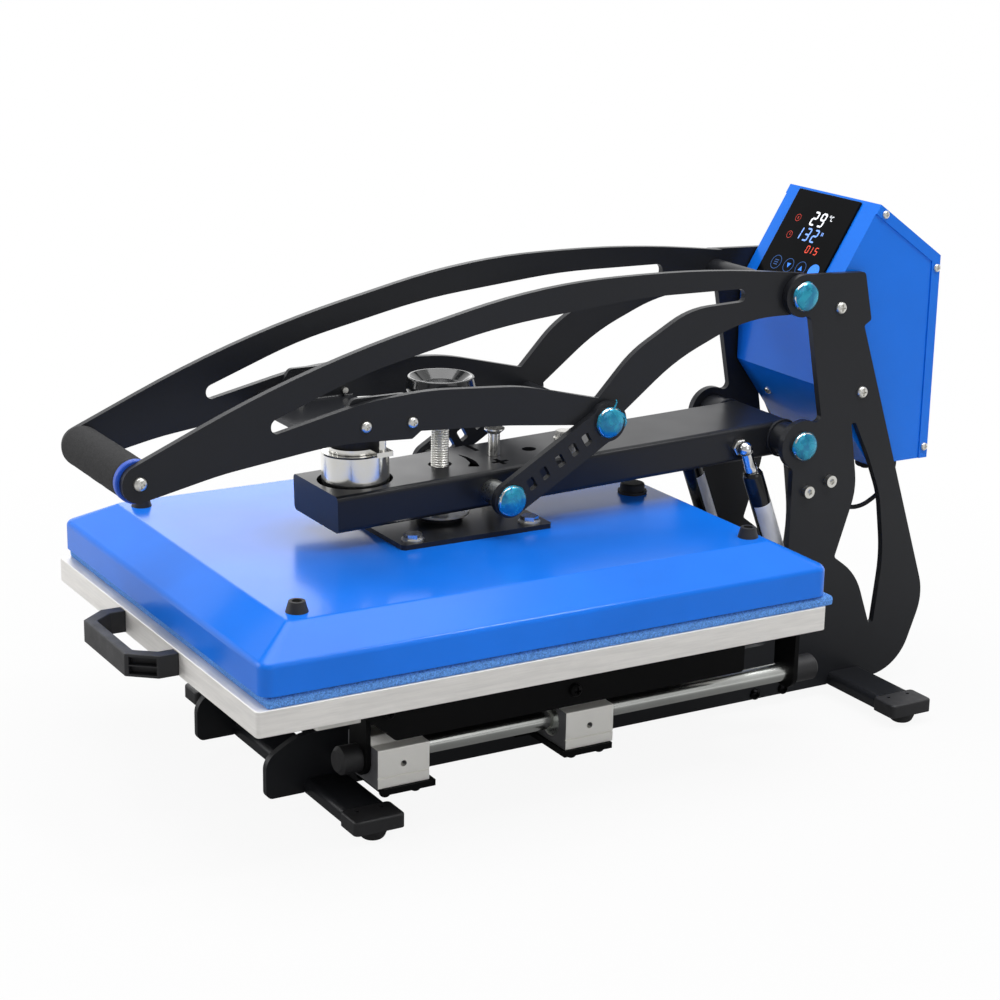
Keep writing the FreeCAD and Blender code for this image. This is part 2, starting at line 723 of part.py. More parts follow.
LEAD_RADIUS = 2.0
LEAD_ROUTE = [
    (40, 445, 206.5),
    (40, 445, 188),
    (40, 431, 169),
    (40.5, 409, 158.5),
    (40, 387, 161.5),
    (39.5, 368, 168),
    (40, 349.6, 181.3),
    (40, 345.5, 195.7),
]


def tube_on_route(route, radius, name):
    """A lead along straight runs joined by tangent arcs, each as large as its runs allow."""
    points = [Vector(*p) for p in route]
    edges = []
    start = points[0]
    length = 0.0
    radii = []
    for i in range(1, len(points) - 1):
        inward = (points[i] - points[i - 1]).normalize()
        outward = (points[i + 1] - points[i]).normalize()
        turn = inward.getAngle(outward)
        reach = 0.45 * min((points[i] - points[i - 1]).Length, (points[i + 1] - points[i]).Length)
        bend = reach / math.tan(turn / 2)
        radii.append(round(bend, 1))
        first = points[i] - inward * reach
        last = points[i] + outward * reach
        towards = ((first + last) * 0.5 - points[i]).normalize()
        middle = points[i] + towards * (bend / math.cos(turn / 2) - bend)
        edges.append(Part.LineSegment(start, first).toShape())
        edges.append(Part.Arc(first, middle, last).toShape())
        length += (first - start).Length + bend * turn
        start = last
    edges.append(Part.LineSegment(start, points[-1]).toShape())
    length += (points[-1] - start).Length
    path = Part.Wire(edges)
    ring = Part.Wire(Part.makeCircle(radius, points[0], points[1] - points[0]))
    lead = path.makePipeShell([ring], True, False)
    expected = math.pi * radius ** 2 * length
    print(name, "length", round(length), "radii", radii, "volume ratio", round(lead.Volume / expected, 4))
    return lead


# Drawer

def drawer_frame():
    """An inverted channel under the lower platen, with two tongues that reach the rear hangers."""
    half = DRAWER_HALF
    outer = [(-half, 60.0, 0), (-half, LOWER_BOTTOM, 4), (half, LOWER_BOTTOM, 4), (half, 60.0, 0)]
    channel = front_profile(outer, -140.0, DRAWER_REAR)
    half = DRAWER_HALF - 3
    inner = [(-half, 50.0, 0), (-half, LOWER_BOTTOM - 3, 1), (half, LOWER_BOTTOM - 3, 1), (half, 50.0, 0)]
    channel = channel.cut(front_profile(inner, -150.0, DRAWER_REAR + 10))
    top = LOWER_BOTTOM + 1
    web = [(-140, top, 0), (-140, 97, 3), (-115, 75, 6), (DRAWER_REAR, 75, 3), (DRAWER_REAR, top, 0)]
    channel = channel.common(side_profile(web, -DRAWER_HALF - 1, DRAWER_HALF + 1))
    for side in (-1, 1):
        x = side * ROD_X
        channel = channel.fuse(block(x - 14, x + 14, DRAWER_REAR - 1, 272.0, LOWER_BOTTOM - 3, LOWER_BOTTOM))
    for hanger in both_sides(rod_hanger(-133.5, -129.5)) + both_sides(rod_hanger(268.0, 272.0)):
        channel = channel.fuse(hanger)
    channel = channel.removeSplitter()
    for y, z in WEB_SCREWS:
        channel = channel.cut(bar(3.0, (-DRAWER_HALF - 1, y, z), (DRAWER_HALF + 1, y, z)))
    return channel


def rod_hanger(y0, y1):
    """A plate that hangs from the drawer and clamps round a guide rod."""
    top = LOWER_BOTTOM - 3
    bottom = ROD_Z - 13.5
    corners = [(ROD_X - 14, top, 0), (ROD_X - 14, bottom, 13), (ROD_X + 14, bottom, 13), (ROD_X + 14, top, 0)]
    hanger = front_profile(corners, y0, y1)
    return hanger.cut(bar(ROD_RADIUS, (ROD_X, y0 - 1, ROD_Z), (ROD_X, y1 + 1, ROD_Z)))


def guide_rod():
    """A ground steel rod with chamfered ends."""
    rod = bar(ROD_RADIUS, (ROD_X, -150.0, ROD_Z), (ROD_X, 296.0, ROD_Z))
    return rod.makeChamfer(1.0, rod.Edges[0:1] + rod.Edges[2:3])


def rod_collar(y0, y1, closed_front):
    """An end collar, closed over the end of the rod and chamfered at its open face."""
    collar = bar(11.2, (ROD_X, y0, ROD_Z), (ROD_X, y1, ROD_Z))
    outer_y = y0 if closed_front else y1
    rim = [e for e in collar.Edges if e.BoundBox.YLength < 0.1 and abs(e.BoundBox.YMin - outer_y) < 0.1]
    collar = collar.makeChamfer(3.0, rim)
    return collar.cut(bar(ROD_RADIUS, (ROD_X, max(y0, -150.0), ROD_Z), (ROD_X, min(y1, 296.0), ROD_Z)))


def web_screws():
    """Socket screws in the webs of the drawer."""
    screws = []
    for y, z in WEB_SCREWS:
        head = button_head(5.5, 5.0, (DRAWER_HALF, y, z), (1, 0, 0))
        screws += both_sides(head.fuse(bar(3.0, (DRAWER_HALF - 8, y, z), (DRAWER_HALF, y, z))))
    return screws


def platen_straps():
    """Flat bars across the underside of the lower platen, in front of and behind the drawer."""
    front = block(-196, 196, -202, -166, LOWER_BOTTOM - 4, LOWER_BOTTOM)
    rear = block(-106, 106, 209, 243, LOWER_BOTTOM - 4, LOWER_BOTTOM)
    return [front.makeFillet(1.5, [e for e in front.Edges if e.BoundBox.ZLength > 3]), rear]


def lower_platen():
    """The brushed metal table of the drawer."""
    wide = PLATEN_WIDE / 2
    deep = PLATEN_DEEP / 2
    plate = top_profile(rectangle(-wide, wide, -deep, deep, 3.5), LOWER_BOTTOM, LOWER_TOP)
    rims = [e for e in plate.Edges if e.BoundBox.ZLength < 0.1]
    return plate.makeFillet(0.8, rims)


def sponge_pad():
    """The sponge sheet on the lower platen, a little longer than it at the rear."""
    return top_profile(rectangle(-199.5, 199.5, -241.0, 257.0, 2.0), LOWER_TOP, PAD_TOP)


def drawer_handle():
    """A bent strap pull: two feet on the front of the platen, sloped legs and a straight grip bar."""
    outer = [(-60, -250, 1), (-60, -266.5, 2), (-43, -287, 2), (43, -287, 2), (60, -266.5, 2), (60, -250, 1)]
    inner = [(-49, -249, 0), (-49, -262.5, 4), (-37, -278, 4), (37, -278, 4), (49, -262.5, 4), (49, -249, 0)]
    strap = top_profile(outer, LOWER_BOTTOM + 1, LOWER_TOP - 1)
    strap = strap.cut(top_profile(inner, 100, 160))
    rims = [e for e in strap.Edges if e.BoundBox.ZLength < 0.1 and e.BoundBox.YMin < -255]
    strap = strap.makeFillet(0.9, rims)
    hollow = [(54.0, -263.6, 0), (63.0, -271.0, 0), (49.0, -288.0, 0), (40.5, -280.6, 0)]
    groove = top_profile(hollow, LOWER_BOTTOM + 3.2, LOWER_TOP - 3.2)
    rib = block(30, 70, -290, -260, 128.5, 129.5)
    for cut in both_sides(groove.cut(rib)):
        strap = strap.cut(cut)
    for stud in handle_studs():
        strap = strap.cut(stud)
    return strap


def handle_studs():
    """Threaded studs that join the feet of the pull to the platen."""
    return both_sides(bar(2.5, (54.5, -262.0, 129), (54.5, -250.0, 129)))


# Upper platen

def cover_shell(inset):
    """The outer form of the cover, made smaller all round by inset."""
    wide = PLATEN_WIDE / 2 - inset
    deep = 248.0 - inset
    flat_wide = 167.0 - inset * 0.55
    flat_deep = 213.0 - inset * 0.55
    top = COVER_TOP - inset
    shoulder = COVER_SHOULDER - inset * 0.3
    levels = [(wide, deep, 10.0 - inset, COVER_RIM), (wide, deep, 10.0 - inset, shoulder),
              (flat_wide, flat_deep, 5.0, top)]
    rings = []
    for x, y, radius, z in levels:
        outline = rectangle(-x, x, COVER_MIDDLE - y, COVER_MIDDLE + y, radius)
        rings.append(rounded_wire(outline, lambda p, z=z: Vector(p.x, p.y, z)))
    skirt = Part.makeLoft(rings[0:2], True, True)
    return skirt.fuse(Part.makeLoft(rings[1:3], True, True)).removeSplitter()


CAP_PLACES = [(sx * 150.0, y) for sx in (-1, 1) for y in (-195.0, 205.0)]
POST_PLACES = [(0.0, 122.0), (0.0, 192.0)]
FLANGE_BOLTS = [(-46.0, -45.0), (46.0, -45.0), (-46.0, 62.0), (46.0, 62.0)]


def platen_cover():
    """The pressed blue cover of the heating platen, open below."""
    outer = cover_shell(0.0)
    bends = [e for e in outer.Edges if e.BoundBox.ZLength < 0.1 and e.BoundBox.ZMin > COVER_SHOULDER - 1]
    outer = outer.makeFillet(5.0, bends)
    inner = cover_shell(2.0)
    inner = inner.fuse(block(-190, 190, -235, 240, COVER_RIM - 5, COVER_RIM + 5))
    reach = PLATEN_DEEP / 2 - 4
    edge = rectangle(-198, 198, COVER_MIDDLE - reach, COVER_MIDDLE + reach, 8.0)
    skirt = top_profile(edge, COVER_RIM - 5, COVER_RIM + 5)
    cover = outer.cut(inner.fuse(skirt))
    for x, y in CAP_PLACES:
        cover = cover.cut(bar(3.0, (x, y, 180), (x, y, 195)))
    for x, y in FLANGE_BOLTS:
        cover = cover.cut(bar(4.0, (x, y, 180), (x, y, 195)))
    return cover


def heating_platen():
    """The cast aluminium platen with the groove of its heating element and bosses for its screws."""
    plate = top_profile(rectangle(-193.0, 193.0, -241.0, 241.0, 9.0), PAD_TOP + 0.2, 159.0)
    plate = plate.makeFillet(1.0, [e for e in plate.Edges if e.BoundBox.ZMax < PAD_TOP + 0.3])
    for x, y in CAP_PLACES:
        plate = plate.fuse(bar(8.0, (x, y, 158.0), (x, y, 185.0)))
        plate = plate.cut(bar(3.0, (x, y, 170.0), (x, y, 186.0)))
    for x, y in FLANGE_BOLTS:
        plate = plate.fuse(bar(9.0, (x, y, 158.0), (x, y, 188.0)))
        plate = plate.cut(bar(4.0, (x, y, 172.0), (x, y, 189.0)))
    return plate.cut(element_path(4.05))


def element_path(radius):
    """The bent tube of the heating element, a flattened M along the platen."""
    z = 159.0
    turns = [(-110, -200), (-110, 200), (-40, 200), (-40, -120),
             (40, -120), (40, 200), (110, 200), (110, -200)]
    bend = 30.0
    edges = []
    start = Vector(*turns[0], z)
    for i in range(1, len(turns) - 1):
        before = Vector(*turns[i - 1], z)
        here = Vector(*turns[i], z)
        after = Vector(*turns[i + 1], z)
        inward = (here - before).normalize()
        outward = (after - here).normalize()
        first = here - inward * bend
        last = here + outward * bend
        middle = here + (outward - inward).normalize() * bend * (math.sqrt(2) - 1)
        edges.append(Part.LineSegment(start, first).toShape())
        edges.append(Part.Arc(first, middle, last).toShape())
        start = last
    edges.append(Part.LineSegment(start, Vector(*turns[-1], z)).toShape())
    ring = Part.Wire(Part.makeCircle(radius, Vector(*turns[0], z), Y_AXIS))
    return Part.Wire(edges).makePipeShell([ring], True, False)


def insulation_board():
    """The insulating board over the heating platen, cut out round its bosses."""
    board = top_profile(rectangle(-180.0, 180.0, -226.0, 226.0, 12.0), 164.2, 172.0)
    for x, y in CAP_PLACES + FLANGE_BOLTS:
        board = board.cut(bar(10.5, (x, y, 160), (x, y, 175)))
    return board


def cover_caps():
    """Tapered screw caps on the corners of the cover, hollow at the top."""
    caps = []
    for x, y in CAP_PLACES:
        cone = Part.makeCone(8.5, 6.2, 8.2, Vector(x, y, COVER_TOP), Z_AXIS)
        cone = cone.cut(bar(3.8, (x, y, COVER_TOP + 3.5), (x, y, COVER_TOP + 9)))
        caps.append(cone.fuse(bar(3.0, (x, y, 172.0), (x, y, COVER_TOP))))
    return caps


def mount_flange():
    """The flat flange that carries the upper platen, with the hub that the spindle turns in."""
    flange = top_profile(rectangle(-58.0, 58.0, -60.0, 77.0, 4.0), COVER_TOP, COVER_TOP + 4)
    flange = flange.fuse(bar(19.0, (0, SPINDLE_Y, COVER_TOP + 4), (0, SPINDLE_Y, COVER_TOP + 8)))
    bore = bar(SPINDLE_RADIUS + 0.05, (0, SPINDLE_Y, COVER_TOP + 1), (0, SPINDLE_Y, COVER_TOP + 9))
    flange = flange.cut(bore)
    for x, y in FLANGE_BOLTS:
        flange = flange.cut(bar(4.0, (x, y, COVER_TOP - 1), (x, y, COVER_TOP + 5)))
    return flange.cut(bar(3.0, (0, GUIDE_Y, COVER_TOP - 1), (0, GUIDE_Y, COVER_TOP + 5)))


def flange_bolts():
    """Hexagon bolts through the flange and cover into the platen's bosses."""
    bolts = []
    for x, y in FLANGE_BOLTS:
        head = hexagon(13.0, 5.3, (x, y, COVER_TOP + 4), (0, 0, 1))
        bolts.append(head.fuse(bar(4.0, (x, y, 174.0), (x, y, COVER_TOP + 4))))
    return bolts


def guide_bolt():
    """The long flat head bolt that stands on the flange and keeps the platen square to the beam."""
    head = Part.makeCone(4.8, 8.6, 3.4, Vector(0, GUIDE_Y, 258.6), Z_AXIS)
    head = head.fuse(bar(8.6, (0, GUIDE_Y, 262.0), (0, GUIDE_Y, 263.0)))
    shank = bar(4.8, (0, GUIDE_Y, COVER_TOP + 4), (0, GUIDE_Y, 258.6))
    foot = bar(3.0, (0, GUIDE_Y, COVER_TOP), (0, GUIDE_Y, COVER_TOP + 4))
    nut = hexagon(16.0, 6.0, (0, GUIDE_Y, COVER_TOP + 4), (0, 0, 1))
    return head.fuse([shank, foot, nut])


def rubber_buffer():
    """The rubber buffer under the beam and its base plate, on the rear half of the cover."""
    x, y = POST_PLACES[1]
    base = bar(12.5, (x, y, COVER_TOP), (x, y, COVER_TOP + 2.5))
    rubber = bar(10.5, (x, y, COVER_TOP + 2.5), (x, y, COVER_TOP + 9.0))
    return base.fuse(rubber.makeFillet(2.0, [e for e in rubber.Edges if e.BoundBox.ZMin > COVER_TOP + 8]))


# Spindle

def spindle():
    """The pressure screw, plain in the hub and threaded above it."""
    screw = bar(SPINDLE_RADIUS, (0, SPINDLE_Y, COVER_TOP + 1.5), (0, SPINDLE_Y, 303.0))
    rim = [e for e in screw.Edges if e.BoundBox.ZMin > 300 and e.BoundBox.ZLength < 0.1]
    return screw.makeChamfer(1.0, rim)


def handwheel():
    """The round knob on the spindle, with a wide dish in its top."""
    corners = [(0, 0, 0), (12, 0, 0), (12, 4, 1), (25, 5, 3), (28.8, 13, 7), (26.8, 22, 1.2),
               (24.8, 22, 1.0), (16.5, 15.5, 2), (0, 15.5, 0)]
    knob = turned(corners, (0, SPINDLE_Y, 290.0), (0, 0, 1))
    return knob.cut(bar(SPINDLE_RADIUS, (0, SPINDLE_Y, 288), (0, SPINDLE_Y, 303)))


# Beam

def beam_tube():
    """The rectangular beam, with its hole for the magnet and the pressure marks cut in its top."""
    half = BEAM_HALF
    tall = BEAM_TALL / 2
    beam = front_profile(rectangle(-half, half, -tall, tall, 4), BEAM_FRONT, BEAM_REAR)
    half -= BEAM_WALL
    tall -= BEAM_WALL
    inside = front_profile(rectangle(-half, half, -tall, tall, 1.5), BEAM_FRONT + BEAM_WALL, BEAM_REAR + 1)
    beam = beam.cut(inside)
    beam = beam.fuse(bar(15.0, (-LEVER_OUT, 0, 0), (LEVER_OUT, 0, 0)))
    beam = beam.cut(bar(PIN_BORE, (-LEVER_OUT - 1, 0, 0), (LEVER_OUT + 1, 0, 0)))
    beam = beam_place(beam)
    beam = beam.cut(upright(MAGNET_Y, 30.4, 225, 245, 0))
    beam = beam.cut(upright(88.0, 6.0, 225, 245, 0))
    beam = beam.cut(upright(SPINDLE_Y, NUT_RADIUS, 190, 220, 0))
    beam = beam.cut(upright(SPINDLE_Y, 9.7, 225, 250, 0))
    beam = beam.cut(upright(GUIDE_Y, 5.2, 190, 250, 0))
    beam = beam.cut(upright(POST_PLACES[0][1], 4.0, 190, 250, 0))
    beam = beam.cut(cross_disc(TOGGLE_LOWER, PIN_RADIUS, -60, 60))
    beam = beam.cut(cross_disc(SPRING_TOP, 3.0, -60, 60))
    for mark in pressure_marks():
        beam = beam.cut(mark)
    return beam


def upright(y, radius, z0, z1, x=0):
    """A round upright cutter or pin at a plan place."""
    return bar(radius, (x, y, z0), (x, y, z1))


def pressure_marks():
    """Cutters for a minus, a plus and a curved arrow beside the spindle."""
    z0, z1 = 230.0, 245.0
    minus = block(-37, -18, 47.3, 51.3, z0, z1)
    plus = block(11, 28, 47, 51, z0, z1).fuse(block(17.3, 21.7, 42, 56.5, z0, z1))
    swoosh = [(-18.5, 29.6, 0.5), (-7.0, 33.0, 30), (9.0, 33.0, 30), (23.5, 28.0, 1.5),
              (18.0, 19.5, 1.0), (9.5, 27.0, 12), (-4.0, 29.6, 25)]
    return [minus, plus, top_profile(swoosh, z0, z1)]


def link_sleeves():
    """Short sleeves between the beam and the toggle links."""
    return both_sides(tube(10.0, PIN_RADIUS, (BEAM_HALF, *TOGGLE_LOWER), (LEVER_OUT, *TOGGLE_LOWER)))


def link_pin():
    """The pin through the beam on which both links turn."""
    return cross_disc(TOGGLE_LOWER, PIN_RADIUS, -PLATE_OUT, PLATE_OUT)


def spindle_nut():
    """The threaded bush of the spindle, welded into the lower wall of the beam."""
    y = SPINDLE_Y
    return tube(NUT_RADIUS, SPINDLE_RADIUS + 0.06, (0, y, 206.0), (0, y, 232.0))


def on_magnet(shape):
    """Moves a shape drawn about the middle of the magnet's face, level, to its resting tilt."""
    shape = shape.copy()
    shape.rotate(Vector(0, 0, 0), X_AXIS, BEAM_TILT)
    shape.translate(Vector(0, MAGNET_Y, MAGNET_TOP))
    return shape


def electromagnet():
    """The round holding magnet, sunk in the front of the beam, with the groove of its coil."""
    deep = beam_height(MAGNET_Y, MAGNET_TOP) + BEAM_TALL / 2 - BEAM_WALL
    radius = MAGNET_RADIUS
    corners = [(0, -deep, 0), (radius, -deep, 0), (radius, -1, 0), (radius - 1, 0, 0), (0, 0, 0)]
    magnet = turned(corners, (0, 0, 0), (0, 0, 1))
    return on_magnet(magnet.cut(tube(20.0, 11.0, (0, 0, -1.5), (0, 0, 1))))


def beam_bolt():
    """The short hexagon bolt behind the guide bolt, clamped through the beam's top."""
    x, y = POST_PLACES[0]
    head = hexagon(13.0, 6.0, (x, y, 247.0), (0, 0, 1))
    washer = bar(9.0, (x, y, 245.0), (x, y, 247.0))
    return head.fuse([washer, bar(4.0, (x, y, 212.0), (x, y, 247.0))])


def spring_upper_stud():
    """The ball stud on the side of the beam that a gas spring pushes."""
    y, z = SPRING_TOP
    stud = bar(3.0, (BEAM_HALF - 3, y, z), (SPRING_X - 5.5, y, z))
    return stud.fuse(hexagon(10.0, 2.5, (BEAM_HALF, y, z), (1, 0, 0)))


# Lever

LEVER = [
    (-292.5, 256.4, 13),
    (-292.5, 283.3, 14),
    (-145.0, 347.0, 990),
    (62.0, 392.6, 640),
    (218.0, 392.6, 1080),
    (328.2, 379.3, 14),
    (327.6, 346.5, 16),
    (256.0, 347.5, 150),
    (187.0, 319.0, 180),
    (131.0, 276.0, 0),
    (120.3, 272.5, 0),
    (30.0, 282.5, 200),
    (-48.0, 287.2, 2),
    (-55.5, 281.7, 3),
    (-120.0, 285.0, 300),
    (-215.0, 273.0, 300),
]
LEVER_WINDOW = [
    (-174.5, 297.6, 5),
    (-174.5, 308.6, 6),
    (-96.0, 337.8, 380),
    (20.0, 362.6, 580),
    (150.0, 374.4, 600),
    (254.5, 373.2, 6),
    (254.5, 362.2, 4),
    (201.0, 360.4, 80),
    (146.0, 329.8, 100),
    (113.5, 295.5, 2),
    (42.0, 312.9, 180),
    (-40.0, 318.6, 260),
    (-95.0, 315.0, 260),
]
BRACKET_SCREWS = [(-95.6, 295.8), (-55.6, 294.8)]


def lever_plate():
    """A laser-cut lever plate with its long window, toggle boss and pivot boss."""
    plate = side_profile(LEVER, LEVER_IN, LEVER_OUT)
    plate = plate.fuse(cross_disc(TOGGLE_UPPER, 16.0, LEVER_IN, LEVER_OUT))
    plate = plate.fuse(cross_disc(LEVER_PIVOT, 17.5, LEVER_IN, LEVER_OUT)).removeSplitter()
    plate = plate.cut(side_profile(LEVER_WINDOW, LEVER_IN - 1, LEVER_OUT + 1))
    plate = plate.cut(cross_disc(LEVER_PIVOT, PIN_BORE, LEVER_IN - 1, LEVER_OUT + 1))
    plate = plate.cut(cross_disc(TOGGLE_UPPER, PIN_RADIUS, LEVER_IN - 1, LEVER_OUT + 1))
    plate = plate.cut(cross_disc(GRIP, 4.0, LEVER_IN - 1, LEVER_OUT + 1))
    for centre in BRACKET_SCREWS:
        plate = plate.cut(cross_disc(centre, 2.5, LEVER_IN - 1, LEVER_OUT + 1))
    return plate


def upper_tube():
    """The tube between the lever plates on the pivot shaft."""
    return tube(10.0, PIN_BORE, (-LEVER_IN, *LEVER_PIVOT), (LEVER_IN, *LEVER_PIVOT))


def toggle_shaft():
    """The shaft between the lever plates at the toggle."""
    return cross_disc(TOGGLE_UPPER, PIN_RADIUS, -LEVER_OUT, LEVER_OUT)


def grip_tube():
    """The steel tube of the grip."""
    return tube(11.0, 4.0, (-LEVER_IN, *GRIP), (LEVER_IN, *GRIP))


def grip_foam():
    """The foam sleeve of the grip, from the left plate to the ring, a little rounded at its ends."""
    foam = tube(GRIP_RADIUS, 11.0, (-LEVER_IN, *GRIP), (52, *GRIP))
    rims = [e for e in foam.Edges if e.BoundBox.XLength < 0.1 and e.BoundBox.ZLength > 30]
    return foam.makeFillet(2.0, rims)


def grip_ring():
    """The ring between the foam and the right lever plate."""
    ring = tube(16.5, 11.0, (52, *GRIP), (LEVER_IN, *GRIP))
    rims = [e for e in ring.Edges if e.BoundBox.XLength < 0.1 and e.BoundBox.ZLength > 30]
    return ring.makeFillet(1.2, rims)


def grip_screws():
    """Pan head screws into the ends of the grip."""
    head = button_head(5.3, 3.6, (LEVER_OUT, *GRIP), (1, 0, 0))
    return both_sides(head.fuse(cross_disc(GRIP, 4.0, LEVER_IN - 18, LEVER_OUT)))


def armature_bracket():
    """The folded channel between the lever plates that carries the armature."""
    half = LEVER_IN
    floor = BRACKET_FLOOR
    outer = [(-half, 318.0, 0), (-half, floor, 5), (half, floor, 5), (half, 318.0, 0)]
    bracket = front_profile(outer, -133.0, -48.0)
    half -= 4
    floor += 4
    inner = [(-half, 325.0, 0), (-half, floor, 2), (half, floor, 2), (half, 325.0, 0)]
    bracket = bracket.cut(front_profile(inner, -140.0, -40.0))
    flanks = [(-133.0, 280.0, 0), (-133.0, 300.0, 8), (-112.0, 304.0, 6), (-104.0, 317.0, 6),
              (-56.0, 317.0, 8), (-48.0, 298.0, 4), (-48.0, 280.0, 0)]
    bracket = bracket.common(side_profile(flanks, -LEVER_IN - 1, LEVER_IN + 1))
    bracket = bracket.cut(upright(MAGNET_Y, 5.0, 280, 295))
    for y, z in BRACKET_SCREWS:
        bracket = bracket.cut(bar(2.5, (-70, y, z), (70, y, z)))
    return bracket


def armature_blank():
    """The armature before its hole is cut: a disc with a tab, lying a little above the magnet."""
    top = 0.4 + ARMATURE_THICK
    disc = bar(21.0, (0, 0, 0.4), (0, 0, top))
    return on_magnet(disc.fuse(top_profile(rectangle(0, 34, 3, 17, 1.0), 0.4, top)))


def armature_plate():
    """The plate that the magnet holds, steadied by a stud under the bracket."""
    stud = bar(3.0, (28, MAGNET_Y + 10, MAGNET_TOP + 2), (28, MAGNET_Y + 10, BRACKET_FLOOR))
    return armature_blank().fuse(stud).cut(upright(MAGNET_Y, 5.0, MAGNET_TOP - 5, 275))


def armature_bush():
    """The rubber bush that lets the armature settle flat on the magnet."""
    bush = tube(19.0, 5.0, (0, MAGNET_Y, MAGNET_TOP + 2.4), (0, MAGNET_Y, BRACKET_FLOOR))
    return bush.cut(armature_blank())


def armature_bolt():
    """The bolt down through bracket, bush and armature."""
    head = button_head(9.0, 5.0, (0, MAGNET_Y, BRACKET_FLOOR + 4), (0, 0, 1))
    return head.fuse(upright(MAGNET_Y, 5.0, MAGNET_TOP + 2, BRACKET_FLOOR + 4))


def bracket_screws():
    """Screws through the lever plates into the bracket."""
    screws = []
    for y, z in BRACKET_SCREWS:
        head = button_head(4.5, 3.0, (LEVER_OUT, y, z), (1, 0, 0))
        screws += both_sides(head.fuse(bar(2.5, (LEVER_IN - 7, y, z), (LEVER_OUT, y, z))))
    return screws


# Toggle links

LINK_SLOTS = (0.211, 0.343, 0.500, 0.640, 0.772)


def link_plate():
    """A toggle link with round ends, the upper one wider, and five openings along it."""
    y0, z0 = TOGGLE_LOWER
    y1, z1 = TOGGLE_UPPER
    length = math.hypot(y1 - y0, z1 - z0)
    link = block(PLATE_IN, PLATE_OUT, 0, length, -14.5, 14.5)
    for y, radius in ((0, 14.5), (length, 16.5)):
        link = link.fuse(bar(radius, (PLATE_IN, y, 0), (PLATE_OUT, y, 0)))
    link = link.removeSplitter()
    link = soften(link, [(length - 7.9, -14.5), (length - 7.9, 14.5)], 6.0)
    link = link.cut(bar(PIN_BORE, (PLATE_IN - 1, 0, 0), (PLATE_OUT + 1, 0, 0)))
    for share in LINK_SLOTS:
        y = share * length
        slot = rectangle(y - 3.5, y + 3.5, -5.2, 5.2, 1.5)
        link = link.cut(side_profile(slot, PLATE_IN - 1, PLATE_OUT + 1))
    link.rotate(Vector(0, 0, 0), X_AXIS, math.degrees(math.atan2(z1 - z0, y1 - y0)))
    link.translate(Vector(0, y0, z0))
    return link


# Gas springs

def along_spring(distance):
    """A point on the spring's axis, measured from its upper end, as (y, z)."""
    y0, z0 = SPRING_TOP
    y1, z1 = SPRING_BOTTOM
    length = math.hypot(y1 - y0, z1 - z0)
    share = distance / length
    return (y0 + (y1 - y0) * share, z0 + (z1 - z0) * share)


SPRING_LONG = math.hypot(SPRING_BOTTOM[0] - SPRING_TOP[0], SPRING_BOTTOM[1] - SPRING_TOP[1])


def spring_bar(radius, start, end):
    """A round piece along the spring's axis."""
    return bar(radius, (SPRING_X, *along_spring(start)), (SPRING_X, *along_spring(end)))


def gas_cylinder():
    """The pressure tube with its socket, open at its lower end for the rod."""
    tube_end = 124.0
    body = spring_bar(7.5, 22.0, tube_end)
    body = body.makeFillet(2.0, [e for e in body.Edges if e.Length > 40 and e.Closed])
    neck = spring_bar(4.5, 6.0, 24.0)
    socket = cross_disc(SPRING_TOP, 7.5, SPRING_X - 5.0, SPRING_X + 5.0)
    body = body.fuse([neck, socket]).removeSplitter()
    return body.cut(spring_bar(3.06, 55.0, tube_end + 5))


def gas_rod():
    """The piston rod with the eye that turns on the lower stud."""
    rod = spring_bar(3.0, 80.0, SPRING_LONG - 6.0)
    neck = spring_bar(3.9, SPRING_LONG - 22.0, SPRING_LONG - 4.0)
    eye = cross_disc(SPRING_BOTTOM, 8.0, SPRING_X - 4.0, SPRING_X + 4.0)
    return rod.fuse([neck, eye]).cut(cross_disc(SPRING_BOTTOM, 4.05, SPRING_X - 10, SPRING_X + 10))


def build_base():
    """The frame on its feet, with the blocks that guide the drawer and the pins of both pivots."""
    save("side_plate_right", side_plate())
    save("side_plate_left", both_sides(side_plate())[1])
    save("foot_bars", [foot_bar(*FOOT_Y), foot_bar(*REAR_FOOT_Y)])
    caps = []
    feet = []
    for ends in (FOOT_Y, REAR_FOOT_Y):
        caps += both_sides(foot_cap(*ends))
        feet += both_sides(rubber_foot(*ends))
    save("foot_caps", caps)
    save("rubber_feet", feet)
    save("base_pan", base_pan())
    save("stop_plates", [stop_plate(True), both_sides(stop_plate(False))[1]])
    shelves = []
    blocks = []
    bushes = []
    bolts = []
    for shelf_y, block_y in zip(SHELF_FRONTS, BLOCK_FRONTS):
        shelves += both_sides(shelf_with_holes(shelf_y, block_y))
        blocks += both_sides(bearing_block(block_y))
        bushes += both_sides(linear_bush(block_y))
        for bolt in block_bolts(block_y):
            bolts += both_sides(bolt)
    save("bearing_shelves", shelves)
    save("bearing_blocks", blocks)
    save("linear_bushes", bushes)
    box_screws = box_mount_screws() + box_spacers() + cover_screws() + slope_screws()
    save("frame_screws", bolts + pan_bolts() + stop_plate_screws() + box_screws)
    pins = [pivot_shaft(LEVER_PIVOT), pivot_shaft(BEAM_PIVOT)]
    save("pivot_pins", pins + both_sides(spring_lower_stud()))
    save("pivot_caps", both_sides(domed_cap(LEVER_PIVOT)) + both_sides(domed_cap(BEAM_PIVOT)))


def build_control_box():
    """The box between the uprights, with what it holds and what leaves it."""
    save("control_box_body", control_box_body())
    save("control_box_cover", control_box_cover())
    save("display_panel", display_panel())
    save("control_electronics", [control_board(), heater_relay()])
    save("power_inlet", power_inlet())
    save("inlet_pins", inlet_pins())
    save("rocker_bezel", rocker_bezel())
    save("power_rocker", power_rocker())
    save("cable_gland", cable_gland())
    save("sensor_lead", tube_on_route(LEAD_ROUTE, LEAD_RADIUS, "sensor_lead"))


